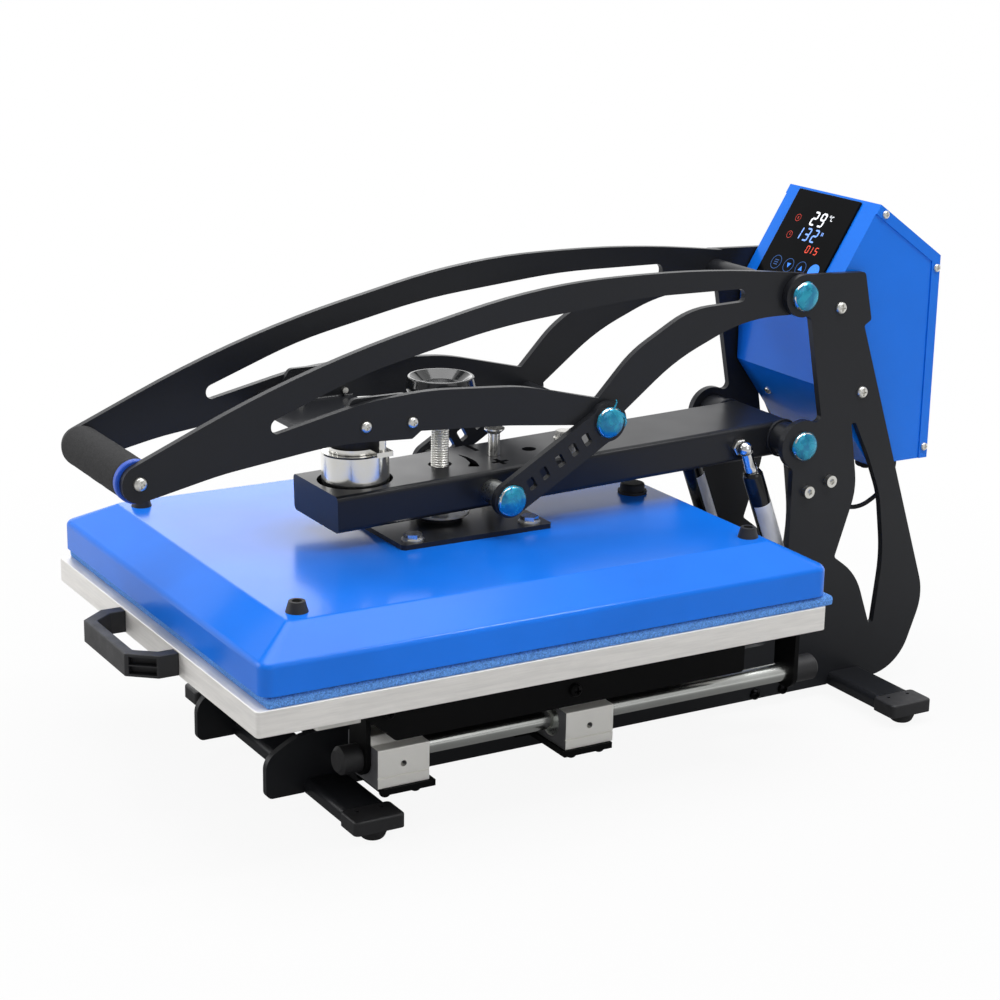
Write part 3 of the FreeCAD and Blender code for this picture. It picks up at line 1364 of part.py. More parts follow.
def build_drawer():
    """The sliding table with its rods."""
    save("drawer_frame", drawer_frame())
    save("guide_rods", both_sides(guide_rod()))
    collars = both_sides(rod_collar(-152.0, -133.5, True)) + both_sides(rod_collar(272.0, 298.0, False))
    save("rod_collars", collars)
    save("drawer_screws", web_screws() + handle_studs())
    save("platen_straps", platen_straps())
    save("lower_platen", lower_platen())
    save("sponge_pad", sponge_pad())
    save("drawer_handle", drawer_handle())


def build_upper_platen():
    """The heated platen under its cover, and the spindle that it hangs on."""
    save("platen_cover", platen_cover())
    save("heating_platen", heating_platen())
    save("heating_element", element_path(4.0))
    save("insulation_board", insulation_board())
    save("cover_caps", cover_caps())
    save("mount_flange", mount_flange())
    save("flange_bolts", flange_bolts() + [guide_bolt()])
    save("rubber_buffer", rubber_buffer())
    save("spindle", spindle())
    save("handwheel", handwheel())


def build_beam():
    """The tilting beam and what is fixed to it."""
    save("beam_tube", beam_tube())
    save("link_pin", [link_pin()] + link_sleeves())
    save("link_pin_caps", both_sides(domed_cap(TOGGLE_LOWER)))
    save("spindle_nut", spindle_nut())
    save("electromagnet", electromagnet())
    save("beam_studs", [beam_bolt()] + both_sides(spring_upper_stud()))


def build_lever():
    """The lever with its grip and armature."""
    right = lever_plate()
    save("lever_plate_right", right)
    save("lever_plate_left", both_sides(right)[1])
    save("lever_cross_bars", [upper_tube(), toggle_shaft(), grip_tube()])
    save("grip_foam", grip_foam())
    save("grip_ring", grip_ring())
    save("lever_screws", grip_screws() + bracket_screws())
    save("armature_bracket", armature_bracket())
    save("armature_plate", [armature_plate(), armature_bolt()])
    save("armature_bush", armature_bush())


def build_links_and_springs():
    """The toggle links and the two gas springs."""
    save("toggle_links", both_sides(link_plate()))
    save("toggle_caps", both_sides(domed_cap(TOGGLE_UPPER)))
    save("gas_cylinders", both_sides(gas_cylinder()))
    save("gas_rods", both_sides(gas_rod()))


os.makedirs("parts", exist_ok=True)
build_base()
build_control_box()
build_drawer()
build_upper_platen()
build_beam()
build_lever()
build_links_and_springs()
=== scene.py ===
# %% [markdown]
# # Dressing an automatic heat press
# The press comes from CAD as sixty named solids that already stand in the right place. This lesson
# gives every one of them a finish, and makes new meshes where the real thing is soft, turned,
# threaded or printed. The frame has to be loaded first, because every later piece hangs on its
# bodies.

# %% Load the frame
import math

import bmesh
import bpy
from mathutils import Matrix, Vector, noise


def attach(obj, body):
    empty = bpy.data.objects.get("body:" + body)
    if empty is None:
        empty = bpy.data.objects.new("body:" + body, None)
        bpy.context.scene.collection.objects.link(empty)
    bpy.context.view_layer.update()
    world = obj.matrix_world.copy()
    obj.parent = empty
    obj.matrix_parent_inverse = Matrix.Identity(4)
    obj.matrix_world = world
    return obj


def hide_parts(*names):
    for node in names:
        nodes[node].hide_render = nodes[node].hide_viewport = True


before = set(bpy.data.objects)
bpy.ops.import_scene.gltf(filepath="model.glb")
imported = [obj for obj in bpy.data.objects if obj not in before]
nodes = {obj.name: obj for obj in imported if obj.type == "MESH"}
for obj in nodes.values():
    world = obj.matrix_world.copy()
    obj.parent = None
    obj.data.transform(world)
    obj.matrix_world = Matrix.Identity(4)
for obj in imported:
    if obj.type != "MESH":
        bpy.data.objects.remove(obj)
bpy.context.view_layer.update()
scene = bpy.context.scene

# %% [markdown]
# ## Places
# The drawing of the press measures in millimetres from the middle of its lower platen, while the
# frame measures in metres from the middle of the whole press. One small function turns the first
# into the second, so all sizes below can be read like those on a drawing: x to the right, y to the
# rear, z up.

# %% A place from the drawing
MIDDLE_Y = 85.55
MM = 0.001


def at(x, y, z):
    """A place in the drawing's millimetres, as metres in the frame."""
    return Vector((x, y - MIDDLE_Y, z)) * MM


print("the lower platen's centre is at", tuple(round(v, 4) for v in at(0, 0, 129)))

# %% [markdown]
# ## Camera
# A long lens from the front right, looking down a little, as for a catalogue picture. The camera
# is turned by three axes of its own: the one that points back from the subject, the one to its
# right and the one upwards. A roll of one degree levels the picture as the photographer had it.

# %% Camera
camera = bpy.data.objects.new("camera", bpy.data.cameras.new("camera"))
scene.collection.objects.link(camera)
scene.camera = camera
camera.data.sensor_width = 36.0
camera.data.lens = 83.7
camera.data.clip_end = 50.0
CAMERA_PLACE = at(1591.62, -872.11, 742.21)
CAMERA_BACK = Vector((0.827703, -0.485306, 0.281756)).normalized()
CAMERA_ROLL = math.radians(1.03)

level = Vector((-CAMERA_BACK.y, CAMERA_BACK.x, 0.0)).normalized()
above = CAMERA_BACK.cross(level)
right = level * math.cos(CAMERA_ROLL) + above * math.sin(CAMERA_ROLL)
up = above * math.cos(CAMERA_ROLL) - level * math.sin(CAMERA_ROLL)
turn = Matrix((right, up, CAMERA_BACK)).transposed().to_4x4()
camera.matrix_world = Matrix.Translation(CAMERA_PLACE) @ turn
print("camera", round((CAMERA_PLACE - at(0, 0, 200)).length, 3), "m from the platen")

# %% [markdown]
# ## Light
# A product studio is a bright box: a big soft light overhead, a weaker one on each side, and pale
# walls that fill the shadows. Area lamps stand for the soft boxes and an even world for the walls.
# Two more only draw sheen: one behind on the left lies where the top of the cover mirrors the
# view, and one above on the right does the same for the long bend along the cover's side. The
# camera sees a pure white background. Gloss and metal see it too, brightest behind the press where
# the paper hangs and dimmer towards the camera. This is done with the Light Path node rather than
# with stronger lamps, so no colour on the press is washed out.

# %% Soft boxes
SUBJECT = at(0, 80, 180)


def soft_box(name, place, size, power):
    """A square lamp that faces the press."""
    data = bpy.data.lights.new(name, "AREA")
    data.shape = "SQUARE"
    data.size = size
    data.energy = power
    lamp = bpy.data.objects.new(name, data)
    scene.collection.objects.link(lamp)
    lamp.location = place
    lamp.rotation_mode = "QUATERNION"
    lamp.rotation_quaternion = (SUBJECT - place).to_track_quat("-Z", "Y")


SOFT_BOXES = [("light_above", (-0.1, -0.15, 2.4), 2.0, 41.0),
              ("light_left", (-1.5, -2.1, 1.1), 1.4, 20.0),
              ("light_right", (2.6, 0.4, 1.5), 1.6, 7.5),
              ("sheen_behind", (-2.25, 0.62, 0.86), 1.0, 4.0),
              ("sheen_bend", (0.95, 0.92, 2.10), 0.40, 13.0)]
for name, place, size, power in SOFT_BOXES:
    soft_box(name, Vector(place), size, power)
print(len(SOFT_BOXES), "soft boxes round", tuple(round(v, 3) for v in SUBJECT))

# %% [markdown]
# The world's strength is one number worked out per ray. A dot product of the ray's direction with
# the way to the hanging paper gives the gradient that gloss sees, two mixes choose between the
# kinds of ray, and the last of them puts plain white behind everything that the camera sees.

# %% Walls
WALL_LIGHT = 0.40
GLOSS_FRONT = 0.38
PAPER_WAY = Vector((-0.76, 0.58, 0.29)).normalized()
scene.view_settings.view_transform = "Standard"
world = bpy.data.worlds.new("studio")
scene.world = world
world.use_nodes = True
walls = world.node_tree
walls.nodes.clear()


def kinds_of_ray(tree, *names):
    """A node output that is one for these kinds of ray and nought for all others."""
    path = tree.nodes.new("ShaderNodeLightPath")
    result = path.outputs[names[0]]
    for name in names[1:]:
        most = tree.nodes.new("ShaderNodeMath")
        most.operation = "MAXIMUM"
        tree.links.new(result, most.inputs[0])
        tree.links.new(path.outputs[name], most.inputs[1])
        result = most.outputs[0]
    return result


def add_range(tree, value, low, high, to_low, to_high):
    """A Map Range node that keeps within its ends."""
    node = tree.nodes.new("ShaderNodeMapRange")
    names = ("From Min", "From Max", "To Min", "To Max")
    for name, number in zip(names, (low, high, to_low, to_high)):
        node.inputs[name].default_value = number
    tree.links.new(value, node.inputs["Value"])
    return node.outputs["Result"]


def add_vector_math(tree, operation, source, other=None):
    """A number worked out from a vector, and from a second fixed one where it is given."""
    node = tree.nodes.new("ShaderNodeVectorMath")
    node.operation = operation
    tree.links.new(source, node.inputs[0])
    if other is not None:
        node.inputs[1].default_value = other
    return node.outputs["Value"]


def add_choice(tree, factor, low, high):
    """A mix of two numbers, each a socket or a plain value."""
    node = tree.nodes.new("ShaderNodeMix")
    tree.links.new(factor, node.inputs[0])
    for value, socket in ((low, node.inputs[2]), (high, node.inputs[3])):
        if isinstance(value, float):
            socket.default_value = value
        else:
            tree.links.new(value, socket)
    return node.outputs[0]


ray_way = walls.nodes.new("ShaderNodeTexCoord").outputs["Generated"]
towards = add_vector_math(walls, "DOT_PRODUCT", ray_way, PAPER_WAY)
gloss = add_range(walls, towards, -0.1, 0.8, GLOSS_FRONT, 1.0)
unseen = add_choice(walls, kinds_of_ray(walls, "Is Glossy Ray"), WALL_LIGHT, gloss)
seen_rays = kinds_of_ray(walls, "Is Camera Ray", "Is Transmission Ray")
wall_glow = walls.nodes.new("ShaderNodeBackground")
wall_glow.inputs["Color"].default_value = (1, 1, 1, 1)
walls.links.new(add_choice(walls, seen_rays, unseen, 1.0), wall_glow.inputs["Strength"])
walls.links.new(wall_glow.outputs[0], walls.nodes.new("ShaderNodeOutputWorld").inputs[0])
print("walls at", WALL_LIGHT, "and gloss from", GLOSS_FRONT, "to 1")

# %% [markdown]
# ## Finishes: a small tool box
# Every finish here is built from nodes, with no pictures. Real surfaces are never one flat colour,
# so each gets slow variation in tone, a grain in the right size for its process, and a roughness
# that changes a little from place to place. The class below keeps such recipes to a few lines each.
# The patterns read Object coordinates, which are metres on the press, so a scale of 1000 gives a
# millimetre grain.

# %% A tool box for node materials
class Finish:
    """A node material on the Principled shader, with short ways to add grain to it."""

    def __init__(self, name, colour, roughness, metallic=0.0):
        self.material = bpy.data.materials.new(name)
        self.material.use_nodes = True
        self.tree = self.material.node_tree
        self.shader = self.tree.nodes["Principled BSDF"]
        self.material.diffuse_color = (*colour, 1.0)
        self.set("Base Color", (*colour, 1.0))
        self.set("Roughness", roughness)
        self.set("Metallic", metallic)
        self.coordinates = self.add("ShaderNodeTexCoord").outputs["Object"]
        self.normal = None

    def add(self, kind, **settings):
        """A new node with its plain settings made."""
        node = self.tree.nodes.new(kind)
        for name, value in settings.items():
            setattr(node, name, value)
        return node

    def set(self, socket, value):
        """A value that is the same all over, set on the shader's own socket."""
        self.shader.inputs[socket].default_value = value

    def gloss(self, level=0.5, coat=0.0, coat_roughness=0.03):
        """How strongly the surface mirrors at a glance, and the clear coat over it."""
        self.set("Specular IOR Level", level)
        self.set("Coat Weight", coat)
        self.set("Coat Roughness", coat_roughness)

    def link(self, source, target):
        """Joins two sockets."""
        self.tree.links.new(source, target)

    def stretched(self, scales):
        """Object coordinates with a scale of its own along each axis."""
        mapping = self.add("ShaderNodeMapping")
        mapping.inputs["Scale"].default_value = scales
        self.link(self.coordinates, mapping.inputs["Vector"])
        return mapping.outputs["Vector"]

    def grain(self, scale, detail=2.0, scales=(1, 1, 1), rough=0.5):
        """A noise of so many grains to the metre."""
        node = self.add("ShaderNodeTexNoise")
        node.inputs["Scale"].default_value = scale
        node.inputs["Detail"].default_value = detail
        node.inputs["Roughness"].default_value = rough
        self.link(self.stretched(scales), node.inputs["Vector"])
        return node.outputs["Fac"]

    def cells(self, scale):
        """The distance to the middle of each Voronoi cell, for pores."""
        node = self.add("ShaderNodeTexVoronoi")
        node.inputs["Scale"].default_value = scale
        self.link(self.coordinates, node.inputs["Vector"])
        return node.outputs["Distance"]

    def tint(self, value, dark, light, low=0.3, high=0.7):
        """The colour runs from dark to light with the value."""
        mix = self.add("ShaderNodeMix", data_type="RGBA")
        colours = [socket for socket in mix.inputs if socket.type == "RGBA"]
        colours[0].default_value = (*dark, 1.0)
        colours[1].default_value = (*light, 1.0)
        self.link(add_range(self.tree, value, low, high, 0.0, 1.0), mix.inputs[0])
        result = [socket for socket in mix.outputs if socket.type == "RGBA"][0]
        self.link(result, self.shader.inputs["Base Color"])

    def polish(self, value, smooth, dull, low=0.3, high=0.7):
        """The roughness runs from smooth to dull with the value."""
        spread = add_range(self.tree, value, low, high, smooth, dull)
        self.link(spread, self.shader.inputs["Roughness"])

    def relief(self, value, depth):
        """Raises the surface by the value, in metres, on top of any relief that is there."""
        node = self.add("ShaderNodeBump")
        node.inputs["Strength"].default_value = 1.0
        node.inputs["Distance"].default_value = depth
        self.link(value, node.inputs["Height"])
        if self.normal is not None:
            self.link(self.normal, node.inputs["Normal"])
        self.normal = node.outputs["Normal"]
        self.link(self.normal, self.shader.inputs["Normal"])


def scaled(colour, factor):
    """A lighter or darker colour."""
    return tuple(min(1.0, part * factor) for part in colour)


print("the tool box is ready")

# %% [markdown]
# ## Powder coat
# The steel of the press is powder coated: satin black on the frame, levers and beam, bright blue on
# the platen cover and the control box. Baked powder flows out into a very fine orange peel. A noise
# of about a millimetre as relief gives that, and a second one makes the roughness wander a little.
# The blue is glossier: a thin clear coat over it draws the bright line along each bend.
# The base pan, shelves, drawer frame and drawer screws get a darker copy of the black, which is
# painted shade.

# %% Black and blue powder coat
BLACK = (0.0165, 0.0175, 0.0205)
# A darker copy of the black, painted shade for the parts low down and under the platen.
PAINTED_SHADE_BLACK = (0.0034, 0.0035, 0.0039)
BLUE = (0.0065, 0.183, 0.85)


def powder_coat(name, colour, roughness, wander, peel, *gloss):
    """Baked powder whose roughness wanders a little, with orange peel this deep in metres."""
    finish = Finish(name, colour, roughness)
    finish.tint(finish.grain(9.0, 3.0), scaled(colour, 0.93), scaled(colour, 1.07))
    finish.polish(finish.grain(30.0, 1.0), roughness - wander, roughness + wander)
    finish.relief(finish.grain(900.0, 1.0), peel)
    finish.gloss(*gloss)
    return finish.material


black_coat = powder_coat("black_powder_coat", BLACK, 0.305, 0.02, 0.000012, 0.26)
painted_shade_coat = powder_coat("painted_shade_black_coat", PAINTED_SHADE_BLACK, 0.44, 0.03, 0.00002, 0.10)
blue_coat = powder_coat("blue_powder_coat", BLUE, 0.25, 0.01, 0.000002, 0.18, 0.22, 0.12)
print("powder coat:", black_coat.name, painted_shade_coat.name, blue_coat.name)

# %% [markdown]
# ## Bare metals
# The two platens are aluminium plates with lines brushed along their edges, and the bushes and pins
# are ground steel. Such lines are a noise that is stretched many times over along them: the lower
# the scale of an axis, the longer the grain along it.

# %% Brushed and ground metal
def brushed(name, colour, scales, smooth, dull, depth):
    """Metal with lines along the axis of the lowest scale."""
    finish = Finish(name, colour, dull, 1.0)
    lines = finish.grain(1.0, 4.0, scales, 0.7)
    finish.tint(lines, scaled(colour, 0.90), scaled(colour, 1.04))
    finish.polish(lines, smooth, dull)
    finish.relief(lines, depth)
    return finish


platen_metal = brushed("brushed_platen", (0.93, 0.91, 0.88), (22, 22, 300), 0.42, 0.60, 0.00001)
platen_metal.relief(platen_metal.grain(30.0, 3.0), 0.0002)
platen_metal.set("Metallic", 0.5)
platen_metal = platen_metal.material
ground_steel = brushed("ground_steel", (0.66, 0.68, 0.66), (700, 8, 700), 0.24, 0.36, 0.00001)
ground_steel = ground_steel.material
print("brushed:", platen_metal.name, ground_steel.name)

# %% [markdown]
# The bearing blocks are lengths of extruded aluminium, bright on their drawn faces. The faces that
# look to the front and the rear, where the saw cut them off, are darkened to a dull grey as painted
# shade. The object's own normal tells the two apart.

# %% Extruded aluminium
def extruded(name, colour, painted_shade):
    """Bright along y, and darkened with painted shade on the faces across it."""
    finish = brushed(name, colour, (900, 25, 900), 0.42, 0.60, 0.00003)
    normal = finish.add("ShaderNodeSeparateXYZ")
    finish.link(finish.add("ShaderNodeTexCoord").outputs["Normal"], normal.inputs[0])
    across = finish.add("ShaderNodeMath", operation="ABSOLUTE")
    finish.link(normal.outputs["Y"], across.inputs[0])
    finish.tint(across.outputs[0], colour, painted_shade, 0.6, 0.8)
    finish.set("Metallic", 0.5)
    return finish.material


# The second colour is painted shade on the front and rear faces.
milled_metal = extruded("extruded_blocks", (0.95, 0.94, 0.90), (0.16, 0.16, 0.17))
print("extruded:", milled_metal.name)

# %% [markdown]
# Zinc plate is slightly cloudy silver and chrome is a clean mirror. The screws near the floor are
# black, those higher up are bright, and they are solids of one node, so their finish changes with
# height: the object's z coordinate chooses between the two colours.

# %% Plated metal
def plated(name, colour, smooth, dull, cloud):
    """Plating with soft clouds of so many to the metre."""
    finish = Finish(name, colour, dull, 1.0)
    clouds = finish.grain(cloud, 3.0)
    finish.tint(clouds, scaled(colour, 0.92), scaled(colour, 1.04))
    finish.polish(clouds, smooth, dull)
    finish.relief(finish.grain(1800.0, 1.0), 0.000004)
    return finish


def black_below(finish, height):
    """Turns the finish to near black below a height in metres."""
    place = finish.add("ShaderNodeSeparateXYZ")
    finish.link(finish.coordinates, place.inputs[0])
    finish.tint(place.outputs["Z"], (0.012, 0.012, 0.013), ZINC, height - 0.001, height + 0.001)
    return finish


ZINC = (0.82, 0.81, 0.77)
zinc = plated("zinc_plate", ZINC, 0.26, 0.40, 130.0).material
frame_zinc = black_below(plated("zinc_and_black", ZINC, 0.26, 0.40, 130.0), 0.060).material
chrome = plated("chrome_plate", (0.86, 0.86, 0.86), 0.05, 0.12, 60.0).material
rod_chrome = plated("rod_chrome", (0.80, 0.82, 0.79), 0.19, 0.26, 25.0).material
nickel = plated("nickel_plate", (0.93, 0.92, 0.88), 0.13, 0.24, 40.0).material
brass = plated("brass_pins", (0.74, 0.55, 0.24), 0.22, 0.35, 200.0).material
print("plated:", zinc.name, frame_zinc.name, chrome.name, rod_chrome.name, nickel.name, brass.name)

# %% [markdown]
# ## Plastics and rubber
# Moulded black plastic is a little grained, the knob and the glass of the display are polished, and
# rubber is dull with a soft bloom. The small ring at the end of the grip is blue.

# %% Plastics and rubber
def moulded(name, colour, roughness, grain, depth, *gloss):
    """Moulded plastic or rubber with a fine skin texture."""
    finish = Finish(name, colour, roughness)
    finish.tint(finish.grain(25.0, 3.0), scaled(colour, 0.85), scaled(colour, 1.2))
    finish.polish(finish.grain(90.0, 2.0), roughness - 0.06, roughness + 0.06)
    finish.relief(finish.grain(grain, 2.0), depth)
    finish.gloss(*gloss)
    return finish.material


black_plastic = moulded("black_plastic", (0.016, 0.016, 0.018), 0.50, 1300.0, 0.00008)
rubber = moulded("black_rubber", (0.014, 0.014, 0.015), 0.72, 900.0, 0.00006)
polished_black = moulded("polished_black", (0.006, 0.006, 0.007), 0.13, 160.0, 0.00001)
dark_glass = moulded("dark_glass", (0.0030, 0.0033, 0.0040), 0.12, 160.0, 0.000002, 0.06)
knob_black = moulded("knob_black", (0.010, 0.011, 0.012), 0.16, 160.0, 0.00001, 0.5, 0.4)
blue_plastic = moulded("blue_plastic", (0.010, 0.085, 0.56), 0.40, 900.0, 0.00003)
white_label = moulded("white_label", (0.76, 0.77, 0.80), 0.42, 500.0, 0.00001)
board = moulded("circuit_board", (0.035, 0.14, 0.06), 0.45, 300.0, 0.00003)
insulation = moulded("insulation_board", (0.52, 0.47, 0.38), 0.85, 700.0, 0.0002)
print("plastics and rubber ready")

# %% [markdown]
# ## Foam
# The pad is open-cell silicone sponge, bright blue with painted shade in its pores, and the grip is
# a black foam sleeve. Voronoi cells are the natural pattern for pores: the distance to each cell's
# middle darkens the colour in the holes as painted shade and lowers the surface there.

# %% Sponge and grip foam
def foam(name, colour, pore, deep, contrast):
    """Open-cell foam with so many pores to the metre."""
    finish = Finish(name, colour, 0.85)
    pores = finish.cells(pore)
    blotches = finish.grain(pore * 0.45, 3.0)
    both = finish.add("ShaderNodeMath", operation="MULTIPLY_ADD")
    finish.link(pores, both.inputs[0])
    both.inputs[1].default_value = 0.75
    finish.link(blotches, both.inputs[2])
    # Dark in the holes is painted shade; the skin between them is lighter.
    holes, skin = scaled(colour, 1.0 - contrast), scaled(colour, 1.0 + contrast)
    finish.tint(both.outputs[0], holes, skin, 0.45, 1.1)
    finish.relief(pores, deep)
    finish.relief(finish.grain(pore * 2.0, 2.0), deep * 0.5)
    finish.gloss(0.25)
    return finish.material


# The last number sets how strongly painted shade darkens the pores.
sponge_foam = foam("blue_sponge", (0.100, 0.27, 0.96), 1300.0, 0.0003, 0.60)
grip_skin = foam("black_grip_foam", (0.028, 0.028, 0.029), 1100.0, 0.0001, 0.30)
print("foam ready")

# %% [markdown]
# ## Film on chrome
# The domed caps over the pivots still wear the protective film they were delivered with. It is
# teal, creased and lets the chrome shine through. The creases are a distorted noise used as relief.
# The same noise paints shade into the hollows of the creases and highlight onto their ridges.

# %% Teal film
def cap_film():
    """Creased teal film over bright metal, with painted shade and highlight along the creases."""
    finish = Finish("teal_film", (0.010, 0.30, 0.46), 0.24, 0.45)
    creases = finish.add("ShaderNodeTexNoise")
    creases.inputs["Scale"].default_value = 95.0
    creases.inputs["Detail"].default_value = 2.5
    creases.inputs["Distortion"].default_value = 1.2
    finish.link(finish.coordinates, creases.inputs["Vector"])
    # Dark in the crease hollows is painted shade, pale on the ridges painted highlight.
    finish.tint(creases.outputs["Fac"], (0.006, 0.20, 0.38), (0.020, 0.40, 0.56), 0.35, 0.68)
    finish.polish(creases.outputs["Fac"], 0.18, 0.34)
    finish.relief(creases.outputs["Fac"], 0.0004)
    finish.gloss(0.5, 0.35)
    return finish.material


teal_film = cap_film()
print("film ready")

# %% [markdown]
# ## Floor
# A wide white sheet. The camera should see it as white as the wall, and still see the soft shadow
# under the feet. So for the rays of the camera the sheet is mostly glow with a share of lit paint,
# and far from the press it is all glow, so that no horizon shows. Gloss sees the same sheet, dimmer
# under the press and on the side of the camera. For all other rays it is plain paint, which throws
# some light back up.

# %% Floor
FLOOR_HALF = 6.0
NEAR_GLOW = 0.92
FLOOR_FRONT = 0.62
FLOOR_Z = -0.0002
floor_mesh = bpy.data.meshes.new("floor")
signs = ((-1, -1), (1, -1), (1, 1), (-1, 1))
corners = [(x * FLOOR_HALF, y * FLOOR_HALF, FLOOR_Z) for x, y in signs]
floor_mesh.from_pydata(corners, [], [(0, 1, 2, 3)])
floor = bpy.data.objects.new("floor", floor_mesh)
scene.collection.objects.link(floor)

paper = bpy.data.materials.new("white_floor")
paper.use_nodes = True
sheet = paper.node_tree
paint = sheet.nodes["Principled BSDF"]
paint.inputs["Base Color"].default_value = (0.66, 0.66, 0.66, 1)
paint.inputs["Roughness"].default_value = 1.0
paint.inputs["Specular IOR Level"].default_value = 0.0
spot_on_floor = sheet.nodes.new("ShaderNodeTexCoord").outputs["Object"]
far = add_vector_math(sheet, "LENGTH", spot_on_floor)
rearward = add_vector_math(sheet, "DOT_PRODUCT", spot_on_floor, (PAPER_WAY.x, PAPER_WAY.y, 0.0))
floor_gloss = sheet.nodes.new("ShaderNodeMath")
floor_gloss.operation = "MULTIPLY"
sheet.links.new(add_range(sheet, rearward, -0.45, 0.55, FLOOR_FRONT, 1.0), floor_gloss.inputs[0])
sheet.links.new(add_range(sheet, far, 0.30, 0.80, 0.20, 1.0), floor_gloss.inputs[1])
glow_power = add_choice(sheet, kinds_of_ray(sheet, "Is Glossy Ray"), 1.0, floor_gloss.outputs[0])
floor_glow = sheet.nodes.new("ShaderNodeEmission")
sheet.links.new(glow_power, floor_glow.inputs["Strength"])
seeing_rays = kinds_of_ray(sheet, "Is Camera Ray", "Is Glossy Ray", "Is Transmission Ray")
glow_share = add_choice(sheet, seeing_rays, 0.0, add_range(sheet, far, 0.42, 0.95, NEAR_GLOW, 1.0))
floor_mix = sheet.nodes.new("ShaderNodeMixShader")
for source, inlet in ((glow_share, 0), (paint.outputs[0], 1), (floor_glow.outputs[0], 2)):
    sheet.links.new(source, floor_mix.inputs[inlet])
sheet.links.new(floor_mix.outputs[0], sheet.nodes["Material Output"].inputs[0])
floor_mesh.materials.append(paper)
print("floor", 2 * FLOOR_HALF, "m wide")

# %% [markdown]
# ## Dress the solids
# A rigid solid whose shape is already right only needs its finish. Swapping the material in its
# slots leaves the mesh untouched. A list per finish is easy to read and to change.

# %% Finish for each solid
FINISHES = {
    black_coat: ["side_plate_right", "side_plate_left", "foot_bars", "stop_plates", "mount_flange",
                 "beam_tube", "lever_plate_right", "lever_plate_left", "lever_cross_bars",
                 "armature_bracket", "toggle_links"],
    # The black of these low parts is darkened as painted shade.
    painted_shade_coat: ["base_pan", "bearing_shelves", "drawer_frame", "drawer_screws"],
    blue_coat: ["control_box_body", "control_box_cover", "platen_cover"],
    platen_metal: ["lower_platen", "heating_platen"],
    milled_metal: ["bearing_blocks"],
    rod_chrome: ["guide_rods"],
    ground_steel: ["linear_bushes", "pivot_pins", "link_pin", "spindle_nut",
                   "heating_element"],
    zinc: ["platen_straps", "beam_studs", "lever_screws"],
    frame_zinc: ["frame_screws"],
    nickel: ["electromagnet", "armature_plate", "flange_bolts"],
    chrome: ["gas_rods"],
    black_plastic: ["foot_caps", "rod_collars", "drawer_handle", "cover_caps", "power_inlet",
                    "rocker_bezel"],
    rubber: ["rubber_feet", "cable_gland", "sensor_lead", "rubber_buffer", "armature_bush"],
    polished_black: ["power_rocker"],
    dark_glass: ["display_panel"],
    knob_black: ["handwheel"],
    blue_plastic: ["grip_ring"],
    brass: ["inlet_pins"],
    board: ["control_electronics"],
    insulation: ["insulation_board"],
}
dressed = 0
for finish, names in FINISHES.items():
    for name in names:
        for material_slot in nodes[name].material_slots:
            material_slot.material = finish
        dressed += 1
print("dressed", dressed, "solids")

# %% [markdown]
# ## Making pieces
# New pieces are built in mesh code. The helpers below end each of them in the same way: normals
# recalculated so that they point outwards, soft shading with sharp edges kept, a material, a body
# to ride on, and the solids it stands for hidden. Much of a press is turned on a lathe, so one
# more helper makes turned forms from a profile and from a rule that says where each point goes.

# %% Finish a mesh and hang it on a body
MERGE = 1e-7


def finished_mesh(name, shape, material, sharp_angle=35.0):
    """Turns a bmesh into an object with clean normals and soft shading."""
    bmesh.ops.remove_doubles(shape, verts=shape.verts, dist=MERGE)
    bmesh.ops.recalc_face_normals(shape, faces=shape.faces)
    mesh = bpy.data.meshes.new(name)
    shape.to_mesh(mesh)
    shape.free()
    mesh.materials.append(material)
    mesh.polygons.foreach_set("use_smooth", [True] * len(mesh.polygons))
    mesh.set_sharp_from_angle(angle=math.radians(sharp_angle))
    piece = bpy.data.objects.new(name, mesh)
    scene.collection.objects.link(piece)
    return piece


def hang(piece, body, replaced=()):
    """Puts a piece on its body and hides the solids it stands for."""
    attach(piece, body)
    if replaced:
        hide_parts(*replaced)
    print(piece.name, "with", len(piece.data.polygons), "faces")
    return piece


def add_loops(shape, loops, close_start=True, close_end=True):
    """Joins rings of points into a tube. All have the same count, and one point is a pole."""
    rings = [[shape.verts.new(point) for point in loop] for loop in loops]
    for first, second in zip(rings, rings[1:]):
        count = max(len(first), len(second))
        for i in range(count):
            j = (i + 1) % count
            if len(first) == 1:
                shape.faces.new((first[0], second[i], second[j]))
            elif len(second) == 1:
                shape.faces.new((first[i], second[0], first[j]))
            else:
                shape.faces.new((first[i], second[i], second[j], first[j]))
    if close_start and len(rings[0]) > 2:
        shape.faces.new(rings[0])
    if close_end and len(rings[-1]) > 2:
        shape.faces.new(reversed(rings[-1]))


def upright_spot(x, y):
    """Where a point goes about an upright axis."""
    return lambda a, b, z: at(x + a, y + b, z)


def crosswise_spot(centre, side, start):
    """Where a point goes about an axis along x, out from x = start on the right or left side."""
    return lambda a, b, out: at(side * (start + out), centre[0] + a, centre[1] + b)


def ring_points(radius, height, count, spot):
    """A ring of points about an axis. spot(a, b, height) says where a point goes."""
    if radius == 0:
        return [spot(0.0, 0.0, height)]
    turns = [i * (2 * math.pi / count) for i in range(count)]
    return [spot(radius * math.cos(t), radius * math.sin(t), height) for t in turns]


def turned(name, parts, material, sharp_angle):
    """A mesh of turned forms: each a profile of (radius, height), a corner count and a spot."""
    shape = bmesh.new()
    for profile, count, spot in parts:
        add_loops(shape, [ring_points(radius, height, count, spot) for radius, height in profile])
    return finished_mesh(name, shape, material, sharp_angle)


SIDES = (1, -1)
print("helpers for pieces are ready")

